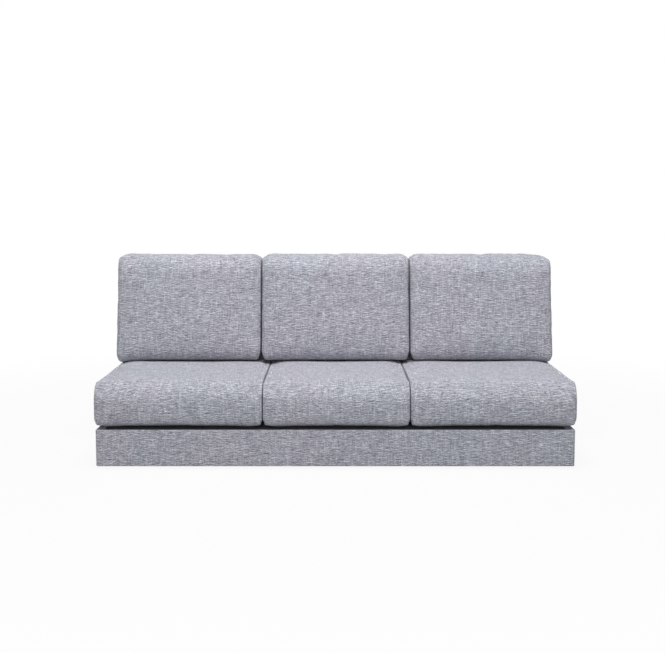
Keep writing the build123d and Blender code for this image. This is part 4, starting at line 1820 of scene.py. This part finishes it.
    def _inner(self) -> list[PanelCut]:
        """Front panel of the back."""
        x = spread(-self.half, self.half, self.inner_step, self.fine)
        return [PanelCut(x, self.rows, lambda s, t: (s, self.foot_y, t), lambda s, t: (s, t))]

    def _back_side(self, side: int) -> list[PanelCut]:
        """Side band of the back, above the base's side panel."""
        return [PanelCut(self.deep, self.rows, lambda s, t: (side * self.half, s, t),
                         lambda s, t: (side * s, t))]

    def _top(self) -> list[PanelCut]:
        """Top band of the back."""
        return [PanelCut(self.deep, self.wide, lambda s, t: (t, s, self.top_z),
                         lambda s, t: (t, s))]

    def _rear(self) -> list[PanelCut]:
        """Rear panel in one piece: from the back's top edge down, and under as a hem.

        Returns:
            Its stretches.
        """
        by_stitch = [self.hem_z + self.hem_stitch + gap for gap in (-MM, 0.0, MM)]
        rows = spread(self.hem_z, self.top_z, self.step, self.fine)
        rows = np.unique(np.round([*rows, *by_stitch], 6))
        under = spread(0.0, self.under, 12 * MM, (1.5 * MM, 4 * MM, 12 * MM))

        def hem_place(s: np.ndarray, t: np.ndarray) -> tuple:
            """Places of the hem, mitred as far as the side hems reach."""
            across = s * (self.half - np.minimum(t, self.hem)) / self.half
            return across, self.rear_y - t, self.hem_z

        return [
            PanelCut(self.wide, under[::-1], hem_place, lambda s, t: (-s, -t)),
            PanelCut(self.wide, rows, lambda s, t: (s, self.rear_y, t),
                     lambda s, t: (-s, t - self.hem_z)),
        ]

    # -- level pieces

    def _deck(self, material: bpy.types.Material) -> bpy.types.Object:
        """Deck cloth: meets the borders in the valley and rises to carry the cushions.

        Args:
            material: Its finish.

        Returns:
            The finished piece.
        """
        half = self.half - self.border + self.deck_lap
        low_y = self.front_y + self.border - self.deck_lap
        fine = (6 * MM, 12 * MM)
        across = spread(-half, half, self.deck_step, fine)
        along = spread(low_y, self.foot_y + self.deck_run_in, self.deck_step, fine)
        x, y = np.meshgrid(across, along, indexing="ij")
        edge = ease(np.minimum(half - np.abs(x), y - low_y), 0.0, 30 * MM)
        tuck = self.tuck * (1 - edge)
        sag = (0.4 + 0.4 * waves(x, y, 5.0, 2.0)) * MM
        z = self.deck_z - self.under_top - self.deck_fall(x, y) - tuck - sag
        return level_cloth("deck_cloth_fitted", x, y, z, 1, self.deck_thickness, material)

    def _pad(self, material: bpy.types.Material) -> bpy.types.Object:
        """Deck pad, pressed thin along its edges by the cloth over it.

        Args:
            material: Its finish.

        Returns:
            The finished piece.
        """
        low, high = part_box("deck_pad")
        fine = (4 * MM, 9 * MM, 16 * MM)
        x, y = np.meshgrid(*(
            spread(low[axis], high[axis], 22 * MM, fine) for axis in (0, 1)), indexing="ij")
        top = self.deck_z - self.over_pad - self.deck_fall(x, y)
        upper = np.stack([x, y, np.maximum(top, low.z + self.least_pad)], axis=-1)
        lower = np.stack([x, y, np.full_like(top, low.z)], axis=-1)
        work = Patchwork()
        for face in (upper, lower):
            work.grid(face, face[..., :2])
        for edge in ((0, slice(None)), (-1, slice(None)), (slice(None), 0), (slice(None), -1)):
            wall = np.stack([lower[edge], upper[edge]])
            work.grid(wall, wall[..., :2] + wall[..., 2:])
        piece = work.object("deck_pad_fitted", material)
        face_outwards(piece)
        return piece

    def _dust(self, material: bpy.types.Material) -> bpy.types.Object:
        """Dust cover under the frame, stapled over the hems, with a slight sag.

        Args:
            material: Its finish.

        Returns:
            The finished piece.
        """
        low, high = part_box("dust_cover")
        lap = self.dust_lap
        x, y = np.meshgrid(*(
            spread(low[axis] - lap, high[axis] + lap, 24 * MM, (6 * MM,)) for axis in (0, 1)
        ), indexing="ij")
        inset = np.minimum(high.x + lap - np.abs(x),
                           np.minimum(y - low.y + lap, high.y + lap - y))
        sag = low.z - self.dust_z + 0.8 * MM + waves(x, y, 7.0, 5.0) * 1.4 * MM
        z = self.dust_z + ease(inset, 10 * MM, 26 * MM) * sag
        return level_cloth("dust_cover_fitted", x, y, z, -1, self.dust_thickness, material)

    def build(self, finishes: Finishes) -> None:
        """Makes every cover and hands it to the frame.

        Args:
            finishes: The sofa's finishes.
        """
        base, back = self._boxes()
        width, height = 2 * self.half, self.deck_z - self.hem_z
        depth, rise = self.rear_y - self.front_y, self.top_z - self.deck_z
        band = self.rear_y - self.foot_y
        top_band = band - rise * (tan(self.rake) - tan(self.rear_rake))
        tall = height + self.hem + self.border
        side = {"area": (band + top_band) / 2 * rise}
        side_flat, band_bulge = (band, rise), self.band_bulge
        plans = (
            ("base_front", self._base_front(), base, self.bulge,
             (width + 2 * self.seam_depth, tall), {}),
            ("base_left", self._base_side(-1), base, self.bulge, (depth, tall), {}),
            ("base_right", self._base_side(1), base, self.bulge, (depth, tall), {}),
            ("back_inner", self._inner(), back, 0.0, (width, rise), {}),
            ("back_left", self._back_side(-1), back, band_bulge, side_flat, side),
            ("back_right", self._back_side(1), back, band_bulge, side_flat, side),
            ("back_top", self._top(), back, 0.0, (width, top_band), {}),
            ("back_rear", self._rear(), back, self.bulge, (width, height + rise + self.under), {}),
        )
        for number, (part, cuts, box, bulge, flat, area) in enumerate(plans):
            node = f"{part}_cover"
            piece = self._piece(f"{node}_panel", cuts, box, box is back, finishes.tweed,
                                20.0 + number, bulge)
            self._stretched(piece, node, "tweed", flat, **area)
        inner_depth = self.foot_y + self.deck_run_in - self.front_y - self.border
        deck_flat = (width - 2 * self.border, inner_depth)
        self._stretched(self._deck(finishes.lining), "deck_cloth", "deck_cloth", deck_flat)
        pad = self._pad(finishes.wadding)
        handed_over(pad, "frame", "deck_pad")
        low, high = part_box("dust_cover")
        dust_flat = (high.x - low.x + 2 * self.dust_lap, high.y - low.y + 2 * self.dust_lap)
        self._stretched(self._dust(finishes.dust_cloth), "dust_cover", "dust_cloth", dust_flat)

    @staticmethod
    def _stretched(piece: bpy.types.Object, node: str, slot: str, flat: Pair,
                   **area: float) -> None:
        """Hands one cover to the frame, where it shows instead of its node."""
        handed_over(piece, "frame", node)


def level_cloth(name: str, x: np.ndarray, y: np.ndarray, z: np.ndarray, facing: int,
                thickness: float, material: bpy.types.Material) -> bpy.types.Object:
    """Makes a cloth that lies nearly level.

    Args:
        name: The piece's name.
        x: Places across, in a grid.
        y: Places from front to rear.
        z: Heights.
        facing: 1 if its outer face looks up, -1 if it looks down.
        thickness: The cloth's thickness.
        material: Its finish.

    Returns:
        The finished piece.
    """
    work = Patchwork()
    work.grid(np.stack([x, y, z], axis=-1), np.stack([x, y], axis=-1))
    piece = work.object(name, material)
    if piece.data.polygons[0].normal.z * facing < 0:
        piece.data.flip_normals()
    return thickened(piece, thickness)


# ---------------------------------------------------------------- repeated pieces

class Growth(Nodes):
    """A Geometry Nodes tree with named inputs, that is turned into one plain mesh."""

    def __init__(self, name: str) -> None:
        """Makes the empty tree.

        Args:
            name: Its name, and that of its piece.
        """
        super().__init__(bpy.data.node_groups.new(name, "GeometryNodeTree"))
        self.name = name
        self.sockets = self.tree.interface
        self.sockets.new_socket("Geometry", in_out="OUTPUT", socket_type="NodeSocketGeometry")
        self.entry = self.tree.nodes.new("NodeGroupInput")
        self.values: dict[str, object] = {}

    def asks(self, name: str, kind: str, value: object) -> Sock:
        """Adds a named input.

        Args:
            name: Its name.
            kind: Its socket type, without the common prefix.
            value: Its value here.

        Returns:
            What it gives in the tree.
        """
        item = self.sockets.new_socket(name, in_out="INPUT", socket_type=f"NodeSocket{kind}")
        self.values[item.identifier] = value
        return Sock(self, self.entry.outputs[name])

    def grown(self, geometry: Sock, material: bpy.types.Material) -> bpy.types.Object:
        """Ends the tree and gives the mesh that it makes.

        Args:
            geometry: What the tree has made, with its instances.
            material: Its finish.

        Returns:
            A plain object at the origin.
        """
        real = self.node("GeometryNodeRealizeInstances", {}, {0: geometry})
        inputs = {"Geometry": real, "Material": material}
        self.end("NodeGroupOutput", self.node("GeometryNodeSetMaterial", {}, inputs))
        host = in_scene(self.name, bpy.data.meshes.new(self.name))
        modifier = host.modifiers.new("growth", "NODES")
        modifier.node_group = self.tree
        for identifier, value in self.values.items():
            modifier[identifier] = value
        return settled(host)


@dataclass(frozen=True)
class StapleRows:
    """Staples round the dust cover, a little uneven."""

    pitch: float = 55 * MM
    inset: float = 4 * MM
    size: Triple = (10 * MM, 1.2 * MM, 0.7 * MM)
    turn: float = radians(9)
    seed: int = 7

    def build(self, finishes: Finishes, under_z: float) -> None:
        """Makes the staples just under the cloth.

        Args:
            finishes: The sofa's finishes.
            under_z: Height of the dust cover's underside at its border.
        """
        low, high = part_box("dust_cover")
        middle = (low + high) / 2
        tree = Growth("dust_cover_staples")
        width = tree.asks("Width", "Float", high.x - low.x + 2 * self.inset)
        depth = tree.asks("Depth", "Float", high.y - low.y + 2 * self.inset)
        pitch = tree.asks("Pitch", "Float", self.pitch)
        turn = tree.asks("Turn", "Float", self.turn)
        seed = tree.asks("Seed", "Int", self.seed)
        line = tree.node("GeometryNodeCurvePrimitiveQuadrilateral", {},
                         {"Width": width, "Height": depth})
        points = tree.node("GeometryNodeCurveToPoints", {"mode": "LENGTH"},
                           {"Curve": line, "Length": pitch})
        way = tree.node("FunctionNodeAlignRotationToVector", {"axis": "X", "pivot_axis": "Z"},
                        {"Vector": points.beside("Tangent")})
        wire = tree.node("GeometryNodeMeshCube", {}, {"Size": self.size})
        rows = tree.node("GeometryNodeInstanceOnPoints", {},
                         {"Points": points, "Instance": wire, "Rotation": way})
        spans = {2: turn * -1.0, 3: turn, "Seed": seed}
        chance = tree.node("FunctionNodeRandomValue", {}, spans, 1)
        turned = tree.node("GeometryNodeRotateInstances", {},
                           {"Instances": rows, "Rotation": tree.vector(0.0, 0.0, chance)})
        place = (middle.x, middle.y, under_z - self.size[2] / 2)
        moved = tree.node("GeometryNodeTransform", {}, {"Geometry": turned, "Translation": place})
        handed_over(tree.grown(moved, finishes.zinc), "frame")


@dataclass(frozen=True)
class ZipTeeth:
    """Coil teeth along one zip chain."""

    body: str
    row: Row
    pitch: float = 2.2 * MM
    thickness: float = 1.1 * MM
    length: float = 5.2 * MM
    above: float = 0.20 * MM
    end: float = 9 * MM
    sides: int = 8

    def build(self, finishes: Finishes) -> None:
        """Makes the teeth on the chain's open face.

        Args:
            finishes: The sofa's finishes.
        """
        low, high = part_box(f"{self.body}_zip_chain")
        middle = (low + high) / 2
        start = low.x + self.end + self.pitch / 2
        if self.row is Row.SEAT:
            place = (start, high.y + self.above - self.thickness / 2, middle.z)
            turn = (0.0, 0.0, 0.0)
        else:
            place = (start, middle.y, low.z - self.above + self.thickness / 2)
            turn = (pi / 2, 0.0, 0.0)
        tree = Growth(f"{self.body}_zip_teeth")
        count = tree.asks("Count", "Int", int((high.x - low.x - 2 * self.end) / self.pitch))
        pitch = tree.asks("Pitch", "Float", self.pitch)
        line = tree.node("GeometryNodeMeshLine", {"mode": "OFFSET", "count_mode": "TOTAL"},
                         {"Count": count, "Offset": tree.vector(pitch, 0.0)})
        tooth = tree.node("GeometryNodeMeshCylinder", {}, {
            "Vertices": self.sides, "Radius": self.thickness / 2, "Depth": self.length,
        })
        rows = tree.node("GeometryNodeInstanceOnPoints", {}, {"Points": line, "Instance": tooth})
        turned = tree.node("GeometryNodeRotateInstances", {}, {"Instances": rows, "Rotation": turn})
        moved = tree.node("GeometryNodeTransform", {}, {"Geometry": turned, "Translation": place})
        handed_over(tree.grown(moved, finishes.nylon), self.body)


@dataclass(frozen=True)
class Glides:
    """Nail-on glides, turned to a dished foot with a sunk nail head."""

    spots: tuple[Pair, ...] = (
        (-0.979, -0.368), (0.979, -0.368), (-0.979, 0.335), (0.979, 0.335),
        (-0.309, -0.0165), (0.309, -0.0165),
    )
    profile: tuple[Pair, ...] = (
        (0.0, 2.4), (3.6, 2.4), (3.9, 1.9), (4.4, 0.5), (5.2, 0.1), (6.5, 0.0), (11.5, 0.0),
        (13.6, 0.4), (15.4, 1.5), (16.5, 3.2), (17.0, 5.4), (17.0, 9.8), (16.5, 10.8), (15.6, 11.4),
    )
    rim: float = 0.6 * MM
    sides: int = 40

    def build(self, finishes: Finishes) -> None:
        """Makes all six glides as one piece.

        Args:
            finishes: The sofa's finishes.
        """
        low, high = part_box("glides")
        reach = [(radius * MM, low.z + height * MM) for radius, height in self.profile]
        reach += [(reach[-1][0] - self.rim, high.z), (0.0, high.z)]
        turns = np.linspace(0, 2 * pi, self.sides + 1)
        work = Patchwork()
        for x, y in self.spots:
            grid = np.array([
                [(x + radius * cos(t), y + radius * sin(t), z) for t in turns]
                for radius, z in reach
            ])
            work.grid(grid, np.zeros((*grid.shape[:2], 2)))
        piece = work.object("glides_turned", finishes.glide)
        face_outwards(piece)
        handed_over(piece, "frame", "glides")


# ---------------------------------------------------------------- studio

@dataclass(frozen=True)
class Softbox:
    """A soft rectangular lamp that looks at a point."""

    name: str
    place: Triple
    target: Triple
    size: Pair
    watts: float

    def build(self) -> None:
        """Makes the lamp."""
        data = bpy.data.lights.new(self.name, "AREA")
        data.shape = "RECTANGLE"
        data.size, data.size_y = self.size
        data.energy = self.watts
        lamp = in_scene(self.name, data)
        lamp.location = self.place
        lamp.rotation_mode = "QUATERNION"
        direction = Vector(self.target) - Vector(self.place)
        lamp.rotation_quaternion = direction.to_track_quat("-Z", "Y")


@dataclass(frozen=True)
class Studio:
    """Pale floor, soft lights and the camera at the photograph's angle."""

    camera_place: Triple = (-0.012, -5.180, 1.100)
    pitch_down: float = radians(6.02)
    lens: float = 62.57
    sensor: float = 36.0
    sight: Pair = (0.05, 60.0)
    floor_half: float = 14.0
    floor_paint: Colour = (0.60, 0.60, 0.60)
    shadow_fade: Pair = (1.2, 4.2)
    whiteness: Pair = (0.92, 1.0)
    sky: Colour = (0.93, 0.96, 1.0)
    sky_strength: float = 0.35
    lamps: tuple[Softbox, ...] = (
        Softbox("key_softbox", (-0.6, -4.4, 5.1), (0.0, 0.0, 0.40), (1.8, 3.2), 66.0),
        Softbox("fill_softbox", (0.2, -6.4, 1.7), (0.0, 0.0, 0.40), (1.8, 1.4), 36.0),
        Softbox("top_softbox", (0.0, -0.9, 5.2), (0.0, -0.1, 0.3), (2.0, 3.4), 206.0),
    )

    def build(self) -> None:
        """Makes camera, floor, world and lamps."""
        self._camera()
        self._floor()
        self._world()
        for lamp in self.lamps:
            lamp.build()
        bpy.context.scene.view_settings.view_transform = "Standard"

    def _camera(self) -> None:
        """Makes the camera."""
        data = bpy.data.cameras.new("camera")
        data.lens, data.sensor_width = self.lens, self.sensor
        data.clip_start, data.clip_end = self.sight
        camera = in_scene("camera", data)
        camera.location = self.camera_place
        camera.rotation_euler = (pi / 2 - self.pitch_down, 0.0, 0.0)
        bpy.context.scene.camera = camera

    def _floor(self) -> None:
        """Makes the floor, white to the camera but for the sofa's soft shadow."""
        size = self.floor_half
        mesh = bpy.data.meshes.new("floor")
        corners = [(-size, -size, 0), (size, -size, 0), (size, size, 0), (-size, size, 0)]
        mesh.from_pydata(corners, [], [(0, 1, 2, 3)])
        mesh.materials.append(self._floor_material())
        in_scene("floor", mesh)

    def _floor_material(self) -> bpy.types.Material:
        """Pale floor paint that reads as white from the camera, and wholly so far away.

        Returns:
            The material.
        """
        material = bpy.data.materials.new("studio floor")
        material.use_nodes = True
        nodes = Nodes(material.node_tree)
        place = nodes.node("ShaderNodeTexCoord", {}, {}, "Object")
        far = nodes.node("ShaderNodeVectorMath", {"operation": "LENGTH"}, {0: place}, "Value")
        share = nodes.seen() * far.ease(*self.shadow_fade, *self.whiteness)
        paint = nodes.node("ShaderNodeBsdfDiffuse", {}, {"Color": self.floor_paint})
        glow = nodes.node("ShaderNodeEmission", {}, {"Strength": 1.0})
        mixed = nodes.node("ShaderNodeMixShader", {}, {0: share, 1: paint, 2: glow})
        nodes.end("ShaderNodeOutputMaterial", mixed)
        return material

    def _world(self) -> None:
        """Makes the even studio light, white behind the sofa."""
        world = bpy.data.worlds.new("studio")
        world.use_nodes = True
        nodes = Nodes(world.node_tree)
        soft, white = (
            nodes.node("ShaderNodeBackground", {}, {"Color": colour, "Strength": strength})
            for colour, strength in ((self.sky, self.sky_strength), (WHITE, 1.0))
        )
        mixed = nodes.node("ShaderNodeMixShader", {}, {0: nodes.seen(), 1: soft, 2: white})
        nodes.end("ShaderNodeOutputWorld", mixed)
        bpy.context.scene.world = world


# ---------------------------------------------------------------- the frame's own nodes

def dress_frame(finishes: Finishes) -> None:
    """Gives every node of the frame its finish.

    Args:
        finishes: The sofa's finishes.
    """
    along_x, along_y, along_z = (finishes.pine[grain] for grain in Grain)
    plan = [
        (along_x, ("base_front_rail", "base_rear_rail", "base_rear_battens", "back_top_rail",
                   "back_lower_rails")),
        (along_y, ("base_left_rail", "base_right_rail", "base_left_cross_rail",
                   "base_right_cross_rail")),
        (along_z, ("base_corner_blocks", "left_end_post", "left_middle_post",
                   "right_middle_post", "right_end_post")),
        (finishes.strap_along_y, ("seat_cross_straps",)),
        (finishes.strap_along_x, ("seat_long_straps",)),
        (finishes.strap_along_z, ("back_straps",)),
        (finishes.wadding, ("deck_pad", "back_pad")),
        (finishes.lining, ("deck_cloth",)),
        (finishes.dust_cloth, ("dust_cover",)),
        (finishes.glide, ("glides",)),
        (finishes.zinc, ("post_bolts", "post_nuts")),
    ]
    for row, fill in ((Row.SEAT, finishes.foam), (Row.BACK, finishes.fibre)):
        for side in SIDES:
            cushion = f"{row.value}_{side}_cushion"
            plan += [(fill, (f"{cushion}_fill",)), (finishes.nylon, (f"{cushion}_zip_chain",)),
                     (finishes.nickel, (f"{cushion}_zip_slider",))]
    chosen = {name: material for material, names in plan for name in names}
    for name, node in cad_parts.items():
        node.data.materials.clear()
        node.data.materials.append(chosen.get(name, finishes.tweed))


def main() -> None:
    """Builds the sofa's looks in order and reports each piece."""
    logging.basicConfig(level=logging.INFO, format="%(name)s: %(message)s")
    finishes = Finishes()
    Studio().build()
    dress_frame(finishes)
    covers = FrameCovers()
    covers.build(finishes)
    StapleRows().build(finishes, covers.dust_z - covers.dust_thickness)
    Glides().build(finishes)
    CushionRows().build(finishes)
    for row in Row:
        for side in SIDES:
            ZipTeeth(f"{row.value}_{side}_cushion", row).build(finishes)


if __name__ == "__main__":
    main()
